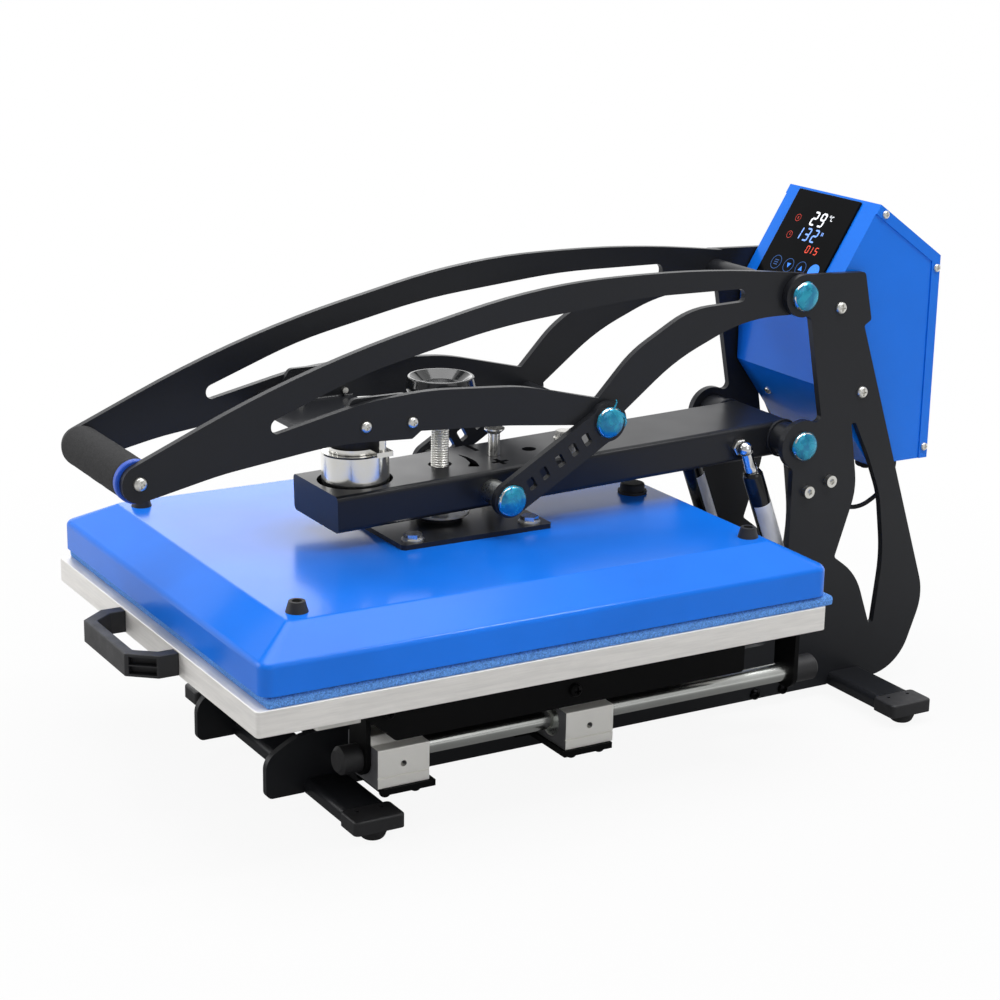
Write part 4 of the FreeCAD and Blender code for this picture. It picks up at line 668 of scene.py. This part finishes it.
# %% [markdown]
# ## Sponge pad
# The pad lies on the lower platen and is squeezed a little between the two plates, so its sides
# bulge and its top is not quite flat. It is one closed form: rings of a rounded rectangle, from the
# middle of the top, over the rim, down the bulged side and back to the middle below.

# %% Sponge pad
PAD_X = 199.5
PAD_FRONT = -241.0
PAD_REAR = 257.0
PAD_MIDDLE = (PAD_FRONT + PAD_REAR) / 2
PAD_LOW = 139.05
PAD_HIGH = 147.5
PAD_CORNER = 2.0
PAD_TOP_RINGS = 34
PAD_WAVE = 0.16


def rounded_rectangle(x0, x1, y0, y1, radius, long_steps=70, short_steps=56, corner_steps=8):
    """Points round a rounded rectangle, the same count for any size."""
    centres = [(x1 - radius, y1 - radius, 0), (x0 + radius, y1 - radius, 90),
               (x0 + radius, y0 + radius, 180), (x1 - radius, y0 + radius, 270)]
    runs = [short_steps, long_steps, short_steps, long_steps]
    points = []
    for i, (cx, cy, start) in enumerate(centres):
        for k in range(corner_steps + 1):
            angle = math.radians(start + 90 * k / corner_steps)
            points.append((cx + radius * math.cos(angle), cy + radius * math.sin(angle)))
        nx, ny, following = centres[(i + 1) % 4]
        angle = math.radians(following)
        end = (nx + radius * math.cos(angle), ny + radius * math.sin(angle))
        first = points[-1]
        for k in range(1, runs[i]):
            share = k / runs[i]
            points.append((first[0] + (end[0] - first[0]) * share,
                           first[1] + (end[1] - first[1]) * share))
    return points


def pad_ring(inset, z, shrink=1.0):
    """One ring of the pad, with a slight wave in it."""
    outline = rounded_rectangle(-PAD_X + inset, PAD_X - inset, PAD_FRONT + inset, PAD_REAR - inset,
                                PAD_CORNER)
    ring = []
    for x, y in outline:
        x, y = x * shrink, PAD_MIDDLE + (y - PAD_MIDDLE) * shrink
        wave = noise.noise(Vector((x, y, z * 3)) * 0.045)
        fine = noise.noise(Vector((x, y, z * 9)) * 0.21)
        lift = 0.0 if z <= PAD_LOW else PAD_WAVE * wave - PAD_WAVE
        side = 0.25 * wave + 0.12 * fine if shrink == 1.0 else 0.0
        ring.append(at(x * (1 + side / PAD_X) - x * 0.002, y, z + lift))
    return ring


def sponge_pad():
    """The padded sheet on the lower platen."""
    shape = bmesh.new()
    shrinks = [0.02 + 0.97 * k / PAD_TOP_RINGS for k in range(PAD_TOP_RINGS + 1)]
    loops = [[at(0, PAD_MIDDLE, PAD_HIGH - 0.2)]]
    loops += [pad_ring(1.2, PAD_HIGH, shrink) for shrink in shrinks]
    sides = [(1.6, PAD_HIGH - 0.7), (0.6, PAD_HIGH - 1.5), (0.1, PAD_HIGH - 2.6),
             (0.0, PAD_HIGH - 4.2), (0.05, PAD_HIGH - 6.2), (0.4, PAD_LOW + 0.5), (1.1, PAD_LOW)]
    loops += [pad_ring(inset, z) for inset, z in sides]
    loops += [pad_ring(1.2, PAD_LOW, shrink) for shrink in (0.98, 0.6, 0.2)]
    loops += [[at(0, PAD_MIDDLE, PAD_LOW)]]
    add_loops(shape, loops)
    return finished_mesh("pad_of_sponge", shape, sponge_foam, 60.0)


pad = hang(sponge_pad(), "drawer", ["sponge_pad"])

# %% [markdown]
# ## Foam grip
# The grip is a sleeve of foam on a steel tube. A lathe form along x with rounded ends, pressed in
# very slightly here and there, as foam is after some use.

# %% Foam grip
GRIP_Y = -279.0
GRIP_Z = 274.0
GRIP_RADIUS = 16.2
GRIP_LEFT = -58.0
GRIP_RIGHT = 52.0
GRIP_BORE = 11.05
GRIP_RINGS = 50
GRIP_DENT = 0.22


def foam_grip():
    """The foam sleeve from the left lever plate to the blue ring."""
    shape = bmesh.new()
    rim = [(0.0, -2.0), (0.6, -0.6), (2.0, 0.0)]
    profile = [(GRIP_BORE, GRIP_LEFT)]
    profile += [(GRIP_RADIUS + rise, GRIP_LEFT + run) for run, rise in rim]
    long = GRIP_RIGHT - GRIP_LEFT - 4
    profile += [(GRIP_RADIUS, GRIP_LEFT + 2 + long * k / GRIP_RINGS) for k in range(1, GRIP_RINGS)]
    profile += [(GRIP_RADIUS + rise, GRIP_RIGHT - run) for run, rise in reversed(rim)]
    profile += [(GRIP_BORE, GRIP_RIGHT), (GRIP_BORE, GRIP_LEFT)]

    def spot(a, b, x):
        radius = math.hypot(a, b)
        if radius > GRIP_BORE + 1:
            dent = GRIP_DENT * noise.noise(Vector((x * 0.09, a * 0.16, b * 0.16))) - GRIP_DENT
            a *= 1 + dent / radius
            b *= 1 + dent / radius
        return at(x, GRIP_Y + a, GRIP_Z + b)

    add_loops(shape, [ring_points(radius, x, 72, spot) for radius, x in profile], False, False)
    return finished_mesh("sleeve_of_foam", shape, grip_skin, 60.0)


grip = hang(foam_grip(), "lever", ["grip_foam"])

# %% [markdown]
# ## Domed caps
# Each pivot ends in a chromed dome that still carries its film. The dome is a lathe form. The film
# is a second, thinner skin just above it, with a ragged outline: its radius is modulated by noise
# around the rim, so chrome shows in a few places and a fringe stands out in others.

# %% Domed caps and their film
CAP_BASE_X = 70.5
LEVER_PIVOT = (310.6, 363.1)
BEAM_PIVOT = (318.2, 233.0)
TOGGLE_UPPER = (120.3, 276.6)
TOGGLE_LOWER = (29.9, 222.7)
DOME = [(12.5, 0.0), (12.5, 2.0), (12.35, 2.9), (11.8, 3.8), (10.7, 4.6), (9.0, 5.3), (6.6, 5.95),
        (3.6, 6.35), (0.0, 6.5)]
FILM_TURNS, FILM_RINGS = 72, 9
FILM_RADIUS, FILM_MOST = 12.85, 13.2
FILM_GAP, FILM_THICK = 0.07, 0.05


def dome_height(radius):
    """The dome's height at a distance from its axis."""
    for (outer, low), (inner, high) in zip(DOME[1:], DOME[2:]):
        if inner <= radius <= outer:
            return low + (high - low) * (outer - radius) / (outer - inner)
    return DOME[1][1]


def add_film(shape, spot, seed):
    """A ragged skin of film over one dome."""
    upper, lower = [], []
    for k in range(1, FILM_RINGS + 1):
        ring = []
        for i in range(FILM_TURNS):
            angle = 2 * math.pi * i / FILM_TURNS
            x, y = math.cos(angle), math.sin(angle)
            slow = noise.noise(Vector((x * 1.1, y * 1.1, seed * 7.3)))
            fast = noise.noise(Vector((x * 5.0, y * 5.0, seed * 3.1)))
            rim = min(FILM_MOST, FILM_RADIUS + 0.7 * slow + 0.4 * fast)
            radius = rim * k / FILM_RINGS
            crease = noise.noise(Vector((radius * 0.6, angle * 3, seed)))
            height = dome_height(radius) + FILM_GAP + 0.10 * (k / FILM_RINGS) * (1 + crease)
            ring.append((radius * x, radius * y, height))
        upper.append([spot(*point) for point in ring])
        lower.append([spot(a, b, height - FILM_THICK) for a, b, height in ring])
    pole = dome_height(0.0) + FILM_GAP
    add_loops(shape, [[spot(0, 0, pole)]] + upper + lower[::-1] + [[spot(0, 0, pole - FILM_THICK)]])


def capped(name, centres, body, node, seed):
    """The caps of one node, both sides, with their film."""
    spots = []
    films = bmesh.new()
    for k, centre in enumerate(centres):
        for side in SIDES:
            spots.append(crosswise_spot(centre, side, CAP_BASE_X))
            add_film(films, spots[-1], seed + 2 * k + side * 0.5)
    domes = turned(name, [(DOME, 48, spot) for spot in spots], chrome, 35.0)
    hang(domes, body, [node])
    hang(finished_mesh(name + "_film", films, teal_film, 70.0), body)


capped("base_domes", [LEVER_PIVOT, BEAM_PIVOT], "base", "pivot_caps", 1)
capped("link_pin_domes", [TOGGLE_LOWER], "beam", "link_pin_caps", 9)
capped("toggle_domes", [TOGGLE_UPPER], "links", "toggle_caps", 14)

# %% [markdown]
# On the upper toggle cap the film has come loose: a flap stands out beyond the rim and a thin curl
# of it points upwards. Both are ribbons, given by two edges that run beside each other.

# %% Loose film
FLAP = [((8.5, 8.2, 4.4), (9.8, 4.6, 4.4)), ((12.0, 6.6, 3.0), (12.2, 2.8, 3.6)),
        ((14.6, 3.4, 2.6), (12.9, 0.4, 3.4)), ((15.4, -1.4, 3.3), (12.8, -2.6, 3.6)),
        ((14.0, -4.6, 2.7), (12.4, -4.4, 3.2))]
CURL = [((0.6, 11.6, 4.2), (2.6, 11.2, 4.2)), ((1.4, 13.8, 4.6), (2.8, 13.4, 5.0)),
        ((2.4, 16.0, 5.0), (3.4, 15.6, 5.6)), ((3.3, 17.4, 4.6), (4.1, 17.1, 5.2)),
        ((3.2, 18.9, 4.0), (3.9, 19.0, 4.4))]
FLAP_THICK = 0.06


def loose_film():
    """The flap and the curl on the right upper toggle cap."""
    shape = bmesh.new()
    spot = crosswise_spot(TOGGLE_UPPER, 1, CAP_BASE_X)
    under = lambda place: spot(*place[:2], place[2] - FLAP_THICK)
    for ribbon in (FLAP, CURL):
        add_loops(shape, [[spot(*first), spot(*second), under(second), under(first)]
                          for first, second in ribbon])
    return finished_mesh("loose_film", shape, teal_film, 70.0)


hang(loose_film(), "links")

# %% [markdown]
# ## Thread
# The spindle has a thread of two millimetres pitch. A thread is a shape that follows a rule, so
# Geometry Nodes make it: a Spiral curve gives the helix, Curve to Mesh sweeps a small diamond along
# it, and the part of the diamond outside the core is the thread. The tree ends in Realize Instances
# and Set Material, and the result is then turned into a plain mesh.

# %% A Geometry Nodes tree for a thread
def new_tree(name, inputs):
    """An empty geometry tree with named inputs, and its input and output nodes."""
    tree = bpy.data.node_groups.new(name, "GeometryNodeTree")
    for label, kind, value in inputs:
        socket = tree.interface.new_socket(label, in_out="INPUT", socket_type=kind)
        if value is not None:
            socket.default_value = value
    tree.interface.new_socket("Geometry", in_out="OUTPUT", socket_type="NodeSocketGeometry")
    return tree, tree.nodes.new("NodeGroupInput"), tree.nodes.new("NodeGroupOutput")


def wire(tree, rows):
    """Joins nodes. Each row is a node, its output, the next node and its input."""
    for source, outlet, target, inlet in rows:
        tree.links.new(source.outputs[outlet], target.inputs[inlet])


def end_tree(tree, inputs, last, outlet, outputs):
    """Closes a tree with Realize Instances and Set Material."""
    realize = tree.nodes.new("GeometryNodeRealizeInstances")
    coat = tree.nodes.new("GeometryNodeSetMaterial")
    wire(tree, [(last, outlet, realize, "Geometry"), (realize, "Geometry", coat, "Geometry"),
                (inputs, "Material", coat, "Material"), (coat, "Geometry", outputs, 0)])


FLOAT = "NodeSocketFloat"
thread_tree, thread_in, thread_out = new_tree("thread", [
    ("Radius", FLOAT, 0.007), ("Pitch", FLOAT, 0.002), ("Length", FLOAT, 0.05),
    ("Depth", FLOAT, 0.001), ("Material", "NodeSocketMaterial", None)])
turns = thread_tree.nodes.new("ShaderNodeMath")
turns.operation = "DIVIDE"
helix = thread_tree.nodes.new("GeometryNodeCurveSpiral")
helix.inputs["Resolution"].default_value = 32
level_turns = thread_tree.nodes.new("GeometryNodeSetCurveNormal")
level_turns.mode = "Z_UP"
ridge = thread_tree.nodes.new("GeometryNodeCurvePrimitiveCircle")
ridge.inputs["Resolution"].default_value = 4
sweep = thread_tree.nodes.new("GeometryNodeCurveToMesh")
sweep.inputs["Fill Caps"].default_value = True
wire(thread_tree, [
    (thread_in, "Length", turns, 0), (thread_in, "Pitch", turns, 1), (turns, 0, helix, "Rotations"),
    (thread_in, "Radius", helix, "Start Radius"), (thread_in, "Radius", helix, "End Radius"),
    (thread_in, "Length", helix, "Height"), (thread_in, "Depth", ridge, "Radius"),
    (helix, "Curve", level_turns, "Curve"), (level_turns, "Curve", sweep, "Curve"),
    (ridge, "Curve", sweep, "Profile Curve")])
end_tree(thread_tree, thread_in, sweep, "Mesh", thread_out)
print("thread tree with", len(thread_tree.nodes), "nodes")

# %% [markdown]
# The function below gives a tree its inputs by their identifiers, reads the evaluated result, and
# makes a plain mesh from it. The thread is then moved to its place and joined with a turned core.

# %% Run a tree and keep its mesh
def grown(name, tree, values, base=None):
    """The shape that a geometry tree makes with these inputs, as a bmesh."""
    holder = bpy.data.objects.new(name + "_holder", base or bpy.data.meshes.new(name + "_holder"))
    scene.collection.objects.link(holder)
    modifier = holder.modifiers.new("grow", "NODES")
    modifier.node_group = tree
    for item in tree.interface.items_tree:
        if item.in_out == "INPUT" and item.name in values:
            modifier[item.identifier] = values[item.name]
    holder.update_tag()
    bpy.context.view_layer.update()
    result = holder.evaluated_get(bpy.context.evaluated_depsgraph_get())
    mesh = bpy.data.meshes.new_from_object(result)
    bpy.data.objects.remove(holder)
    shape = bmesh.new()
    shape.from_mesh(mesh)
    bpy.data.meshes.remove(mesh)
    return shape


def threaded_rod(name, place, radius, pitch, low, high, ends, material):
    """A core with a thread from low to high. ends are extra (radius, z) above and below."""
    depth = pitch * 0.42
    core = radius - depth
    shape = grown(name, thread_tree, {
        "Radius": core * MM, "Pitch": pitch * MM, "Length": (high - low) * MM,
        "Depth": depth * MM, "Material": material})
    shape.transform(Matrix.Translation(at(*place, low)))
    profile = [end for end in ends if end[1] <= low] + [(core, low), (core, high)]
    profile += [end for end in ends if end[1] >= high]
    add_loops(shape, [ring_points(r, z, 48, upright_spot(*place)) for r, z in profile])
    return finished_mesh(name, shape, material, 30.0)


SPINDLE = (0.0, 4.0)
spindle_piece = threaded_rod(
    "spindle_thread", SPINDLE, 7.45, 2.0, 203.0, 300.0,
    [(0.0, 191.5), (7.4, 191.5), (7.4, 202.9), (6.6, 300.5), (5.6, 302.0), (0.0, 302.0)], zinc)
hang(spindle_piece, "spindle_and_wheel", ["spindle"])

# %% [markdown]
# ## Washers
# A plain washer lies under each hexagon bolt of the mounting flange, and a wide one on the hub
# takes the thrust of the spindle. Alike pieces at known spots are a job for Instance on Points. The
# washer itself is a small rectangle swept round a circle.

# %% Washers
washer_tree, washer_in, washer_out = new_tree("washers", [
    ("Spots", "NodeSocketGeometry", None), ("Middle Radius", FLOAT, 0.007), ("Width", FLOAT, 0.003),
    ("Thickness", FLOAT, 0.0012), ("Material", "NodeSocketMaterial", None)])
washer_line = washer_tree.nodes.new("GeometryNodeCurvePrimitiveCircle")
washer_line.inputs["Resolution"].default_value = 40
washer_section = washer_tree.nodes.new("GeometryNodeCurvePrimitiveQuadrilateral")
washer_sweep = washer_tree.nodes.new("GeometryNodeCurveToMesh")
washer_points = washer_tree.nodes.new("GeometryNodeInstanceOnPoints")
wire(washer_tree, [
    (washer_in, "Middle Radius", washer_line, "Radius"),
    (washer_in, "Width", washer_section, "Width"),
    (washer_in, "Thickness", washer_section, "Height"),
    (washer_line, "Curve", washer_sweep, "Curve"),
    (washer_section, "Curve", washer_sweep, "Profile Curve"),
    (washer_in, "Spots", washer_points, "Points"),
    (washer_sweep, "Mesh", washer_points, "Instance")])
end_tree(washer_tree, washer_in, washer_points, "Instances", washer_out)


def washers(name, spots, middle, width, thickness, body):
    """Flat washers at these places of the drawing, lying level."""
    base = bpy.data.meshes.new(name + "_spots")
    base.from_pydata([tuple(at(*spot)) for spot in spots], [], [])
    shape = grown(name, washer_tree, {"Middle Radius": middle * MM, "Width": width * MM,
                                      "Thickness": thickness * MM, "Material": zinc}, base)
    hang(finished_mesh(name, shape, zinc), body)


FLANGE_BOLTS = [(x, y) for y in (-45.0, 62.0) for x in (-46.0, 46.0)]
FLANGE_SPOTS = [(*bolt, 194.6) for bolt in FLANGE_BOLTS]
washers("flange_washers", FLANGE_SPOTS, 7.4, 3.6, 1.2, "upper_platen")
washers("thrust_washer", [(*SPINDLE, 198.8)], 16.2, 16.8, 1.6, "upper_platen")

# %% [markdown]
# A screw holds each corner of the cover, and its head lies sunk in the hollow of the rubber cap,
# where it just shows. One turned form at four places.

# %% Screw heads in the caps
CAP_SPOTS = [(x, y) for y in (-195.0, 205.0) for x in (-150.0, 150.0)]
HEAD = [(0.0, 193.55), (3.5, 193.55), (3.5, 194.4), (2.9, 195.0), (1.4, 195.2), (1.2, 194.6),
        (0.0, 194.6)]
head_parts = [(HEAD, 24, upright_spot(*place)) for place in CAP_SPOTS]
hang(turned("cap_screws", head_parts, zinc, 30.0), "upper_platen")

# %% [markdown]
# ## Display
# The sloped front of the box holds a dark glass with a lit number display and four touch marks. The
# seven-segment digits are thin raised bars with pointed ends, leaning a little, and each colour is
# a glowing material of modest strength, so it reads as light without spilling over the glass.

# %% Digits on the slope
SLOPE = math.atan2(433.5 - 352.0, 392.5 - 342.0)
SLOPE_MIDDLE = (367.25, 392.75)
GLASS_TOP = 2.02
MARK_THICK = 0.07


def on_slope(u, v, out):
    """A place on the display slope: u to the right, v up the slope and out of it."""
    y = SLOPE_MIDDLE[0] + v * math.cos(SLOPE) - out * math.sin(SLOPE)
    z = SLOPE_MIDDLE[1] + v * math.sin(SLOPE) + out * math.cos(SLOPE)
    return at(u, y, z)


def add_mark(shape, outline):
    """A thin raised mark with this outline on the glass."""
    low = [on_slope(u, v, GLASS_TOP) for u, v in outline]
    high = [on_slope(u, v, GLASS_TOP + MARK_THICK) for u, v in outline]
    add_loops(shape, [low, high])


def add_bar(shape, u0, v0, u1, v1, width):
    """A segment with pointed ends between two places."""
    along = Vector((u1 - u0, v1 - v0)).normalized()
    across = Vector((-along.y, along.x)) * width / 2
    start = Vector((u0, v0))
    end = Vector((u1, v1))
    tip = along * width / 2
    points = [start, start + tip + across, end - tip + across, end, end - tip - across,
              start + tip - across]
    add_mark(shape, [tuple(point) for point in points])


SEGMENTS = {"0": "abcdef", "1": "bc", "2": "abged", "3": "abgcd", "5": "afgcd", "9": "abcdfg",
            "c": "aefd"}
LEAN = 0.10


def add_digit(shape, digit, u, v, wide, tall, width):
    """One digit with its lower left corner at (u, v)."""
    half = tall / 2
    lines = {"a": (0, tall, wide, tall), "b": (wide, tall, wide, half), "c": (wide, half, wide, 0),
             "d": (0, 0, wide, 0), "e": (0, half, 0, 0), "f": (0, tall, 0, half),
             "g": (0, half, wide, half)}
    for name in SEGMENTS[digit]:
        x0, y0, x1, y1 = lines[name]
        add_bar(shape, u + x0 + LEAN * y0, v + y0, u + x1 + LEAN * y1, v + y1, width)


def circle(u, v, radius, count):
    """Points round a place of the glass."""
    turns = [2 * math.pi * i / count for i in range(count)]
    return [(u + radius * math.cos(t), v + radius * math.sin(t)) for t in turns]


def add_hoop(shape, u, v, radius, width, count=40):
    """A thin ring mark."""
    low, high = GLASS_TOP, GLASS_TOP + MARK_THICK
    inner = radius - width
    edge = ((inner, low), (radius, low), (radius, high), (inner, high), (inner, low))
    add_loops(shape, [[on_slope(*place, out) for place in circle(u, v, size, count)]
                      for size, out in edge], False, False)


def glow(name, colour, strength):
    """A lit mark under glass."""
    finish = Finish(name, scaled(colour, 0.4), 0.3)
    finish.set("Emission Color", (*colour, 1.0))
    finish.set("Emission Strength", strength)
    finish.polish(finish.grain(300.0), 0.2, 0.4)
    return finish.material


LIGHTS = {
    "white_number": glow("white_digits", (0.92, 0.95, 1.0), 1.0),
    "blue_number": glow("blue_digits", (0.22, 0.42, 1.0), 1.0),
    "red_counter": glow("red_digits", (0.85, 0.07, 0.03), 0.9),
    "red_signs": glow("red_signs", (0.52, 0.03, 0.015), 0.8),
    "touch_rings": glow("touch_marks", (0.02, 0.10, 0.34), 0.7),
    "touch_signs": glow("bright_touch_mark", (0.03, 0.24, 0.95), 0.9)}
print(len(LIGHTS), "lights for the display")

# %% [markdown]
# The upper number is white, the lower one blue and the small counter red, each with its little mark
# beside it. Below them lie four round touch marks: one with three bars, one pointing down, one
# pointing up and a solid one. Four tables hold the places, in millimetres on the glass.

# %% Numbers and touch marks
DIGITS = {"white_number": [("2", -9.4, 15.4, 5.6, 12.0, 1.7), ("9", 1.2, 15.4, 5.6, 12.0, 1.7),
                           ("c", 14.8, 22.6, 2.4, 4.0, 0.7)],
          "blue_number": [("1", -19.2, 0.3, 5.0, 11.2, 1.5), ("3", -8.4, 0.3, 5.4, 11.2, 1.5),
                          ("2", 2.2, 0.3, 5.4, 11.2, 1.5)],
          "red_counter": [("0", 3.2, -10.0, 3.4, 6.4, 0.9), ("1", 7.6, -10.0, 3.4, 6.4, 0.9),
                          ("5", 15.0, -10.0, 3.4, 6.4, 0.9)]}
HOOPS = {"white_number": [(13.0, 26.4, 1.2, 0.5, 20)],
         "red_signs": [(-27.6, v, 3.5, 0.45) for v in (18.9, 2.2)],
         "touch_rings": [(u, -24.8, 6.6, 0.5) for u in (-25.9, -8.3, 9.0)]}
BARS = {"blue_number": [(u, 7.4, u, 11.0, 0.8) for u in (12.9, 14.6)],
        "red_signs": [(-27.6, 17.4, -27.6, 20.4, 0.8), (-27.6, 2.2, -27.6, 4.4, 0.5),
                      (-27.8, 2.2, -26.2, 2.2, 0.5)],
        "touch_rings": [(-28.6, v, -23.2, v, 0.7) for v in (-22.8, -24.8, -26.8)]}
SIGNS = {"touch_signs": [circle(26.7, -24.6, 6.9, 40),
                         [(-10.9, -22.8), (-5.7, -22.8), (-8.3, -27.2)],
                         [(6.4, -26.8), (11.6, -26.8), (9.0, -22.4)]]}
for name, light in LIGHTS.items():
    shape = bmesh.new()
    for add, rows in ((add_digit, DIGITS), (add_hoop, HOOPS), (add_bar, BARS)):
        for row in rows.get(name, []):
            add(shape, *row)
    for outline in SIGNS.get(name, []):
        add_mark(shape, outline)
    hang(finished_mesh(name, shape, light), "base")

# %% [markdown]
# ## Gas springs
# Each spring is a black painted tube with a swaged shoulder at both ends. It is turned about its
# own slanting axis, so a small function gives places about that axis, measured down from the upper
# ball.

# %% Cylinders
SPRING_TOP = Vector((50.0, 272.5, 230.5))
SPRING_BOTTOM = Vector((50.0, 332.0, 75.0))
TUBE_RADIUS = 9.0
TUBE = [(0.0, 21.0), (5.6, 21.0), (7.6, 22.4), (TUBE_RADIUS, 25.5), (TUBE_RADIUS, 120.6),
        (8.6, 122.4), (7.0, 123.8), (3.2, 124.0), (3.2, 100.0), (0.0, 100.0)]


def spring_spot(side):
    """A place about the axis of one spring, its height measured down from the upper end."""
    along = (SPRING_BOTTOM - SPRING_TOP).normalized()
    first = Vector((1.0, 0.0, 0.0))
    second = along.cross(first)

    def spot(a, b, distance):
        point = SPRING_TOP + along * distance + first * a + second * b
        return at(side * point.x, point.y, point.z)
    return spot


spring_spots = {side: spring_spot(side) for side in SIDES}
cylinders = turned("spring_cylinders", [(TUBE, 64, spot) for spot in spring_spots.values()],
                   polished_black, 40.0)
hang(cylinders, "gas_cylinders", ["gas_cylinders"])

# %% [markdown]
# Each tube carries a white paper label, which stays blank. It does not quite go round: a strip of
# the black tube shows beside it. The label is a thin curved sheet, given by the angles it runs
# between.

# %% Paper labels
LABEL_FROM, LABEL_TO = 53.0, 116.0
LABEL_TURNS = {1: (-100.0, 74.0), -1: (157.0, 300.0)}
LABEL_STEPS = 48


def paper_labels():
    """A thin curved sheet on each cylinder."""
    shape = bmesh.new()
    inner, outer = TUBE_RADIUS, TUBE_RADIUS + 0.12
    edge = ((inner, LABEL_FROM), (outer, LABEL_FROM), (outer, LABEL_TO), (inner, LABEL_TO))
    for side, (start, end) in LABEL_TURNS.items():
        spot = spring_spots[side]
        angles = [math.radians(start + (end - start) * i / LABEL_STEPS)
                  for i in range(LABEL_STEPS + 1)]
        add_loops(shape, [[spot(radius * math.cos(t), radius * math.sin(t), distance)
                           for radius, distance in edge] for t in angles])
    return finished_mesh("paper_labels", shape, white_label)


hang(paper_labels(), "gas_cylinders")

# %% [markdown]
# ## Ball sockets
# The upper end of each spring is a pressed steel socket with a round back that snaps over the ball
# stud, with a short neck to the cylinder. It stays bright while the cylinder is black.

# %% Ball sockets
NECK = [(0.0, 3.0), (4.9, 3.0), (4.9, 15.0), (5.4, 16.0), (5.4, 21.4), (0.0, 21.4)]
BALL = [(0.0, -4.4), (4.6, -4.4), (5.6, -3.8), (6.3, -2.4)]
ARC = [math.radians(degrees) for degrees in range(0, 90, 12)]
BALL += [(6.5 * math.cos(t), 6.4 * math.sin(t)) for t in ARC] + [(0.0, 6.4)]
BALL_CENTRE = (SPRING_TOP.y, SPRING_TOP.z)
socket_parts = []
for side in SIDES:
    socket_parts.append((NECK, 40, spring_spots[side]))
    socket_parts.append((BALL, 40, crosswise_spot(BALL_CENTRE, side, SPRING_TOP.x)))
hang(turned("ball_sockets", socket_parts, chrome, 50.0), "gas_cylinders")

# %% [markdown]
# The stud of each ball is held to the beam by a hexagon nut with a chamfered face. A hexagon is a
# ring of six points, and the chamfer is a smaller ring on top.

# %% Stud nuts
NUT = [(0.0, 40.05), (7.3, 40.05), (7.3, 43.6), (6.5, 44.3), (0.0, 44.3)]
nut_parts = [(NUT, 6, crosswise_spot(BALL_CENTRE, side, 0.0)) for side in SIDES]
hang(turned("stud_nuts", nut_parts, zinc, 20.0), "beam")

# %% [markdown]
# ## Weld beads
# The short angles that carry the bearing blocks are welded to the side plates, and the pivot sleeve
# is welded to the beam. A bead is a row of overlapping scales, so Geometry Nodes lay small
# balls along a curve at equal steps and join them.

# %% A Geometry Nodes tree for weld beads
weld_tree, weld_in, weld_out = new_tree("weld", [
    ("Line", "NodeSocketGeometry", None), ("Step", FLOAT, 0.0012), ("Size", FLOAT, 0.002),
    ("Material", "NodeSocketMaterial", None)])
weld_curve = weld_tree.nodes.new("GeometryNodeMeshToCurve")
weld_steps = weld_tree.nodes.new("GeometryNodeCurveToPoints")
weld_steps.mode = "LENGTH"
weld_ball = weld_tree.nodes.new("GeometryNodeMeshIcoSphere")
weld_ball.inputs["Subdivisions"].default_value = 2
weld_place = weld_tree.nodes.new("GeometryNodeInstanceOnPoints")
wire(weld_tree, [
    (weld_in, "Line", weld_curve, "Mesh"), (weld_curve, "Curve", weld_steps, "Curve"),
    (weld_in, "Step", weld_steps, "Length"), (weld_in, "Size", weld_ball, "Radius"),
    (weld_steps, "Points", weld_place, "Points"), (weld_ball, "Mesh", weld_place, "Instance")])
end_tree(weld_tree, weld_in, weld_place, "Instances", weld_out)


def weld(name, lines, size, body):
    """Beads along these runs of places, painted over with the rest."""
    points = []
    edges = []
    for line in lines:
        edges += [(len(points) + i, len(points) + i + 1) for i in range(len(line) - 1)]
        points += [tuple(at(*place)) for place in line]
    base = bpy.data.meshes.new(name + "_line")
    base.from_pydata(points, edges, [])
    values = {"Step": size * 0.7 * MM, "Size": size * MM, "Material": black_coat}
    shape = grown(name, weld_tree, values, base)
    hang(finished_mesh(name, shape, black_coat, 60.0), body)


SHELF_X, SHELF_Z, SHELF_FRONTS = 70.6, 36.6, (-125.0, 35.0)
weld("shelf_welds", [[(side * SHELF_X, front + run, SHELF_Z) for run in (3, 41)]
                     for side in SIDES for front in SHELF_FRONTS], 1.6, "base")
SLEEVE_X, SLEEVE_RADIUS = 40.2, 15.2
WHOLE_TURN = [math.radians(10 * k) for k in range(37)]
weld("sleeve_welds", [[(side * SLEEVE_X, BEAM_PIVOT[0] + SLEEVE_RADIUS * math.cos(t),
                        BEAM_PIVOT[1] + SLEEVE_RADIUS * math.sin(t)) for t in WHOLE_TURN]
                      for side in SIDES], 1.7, "beam")
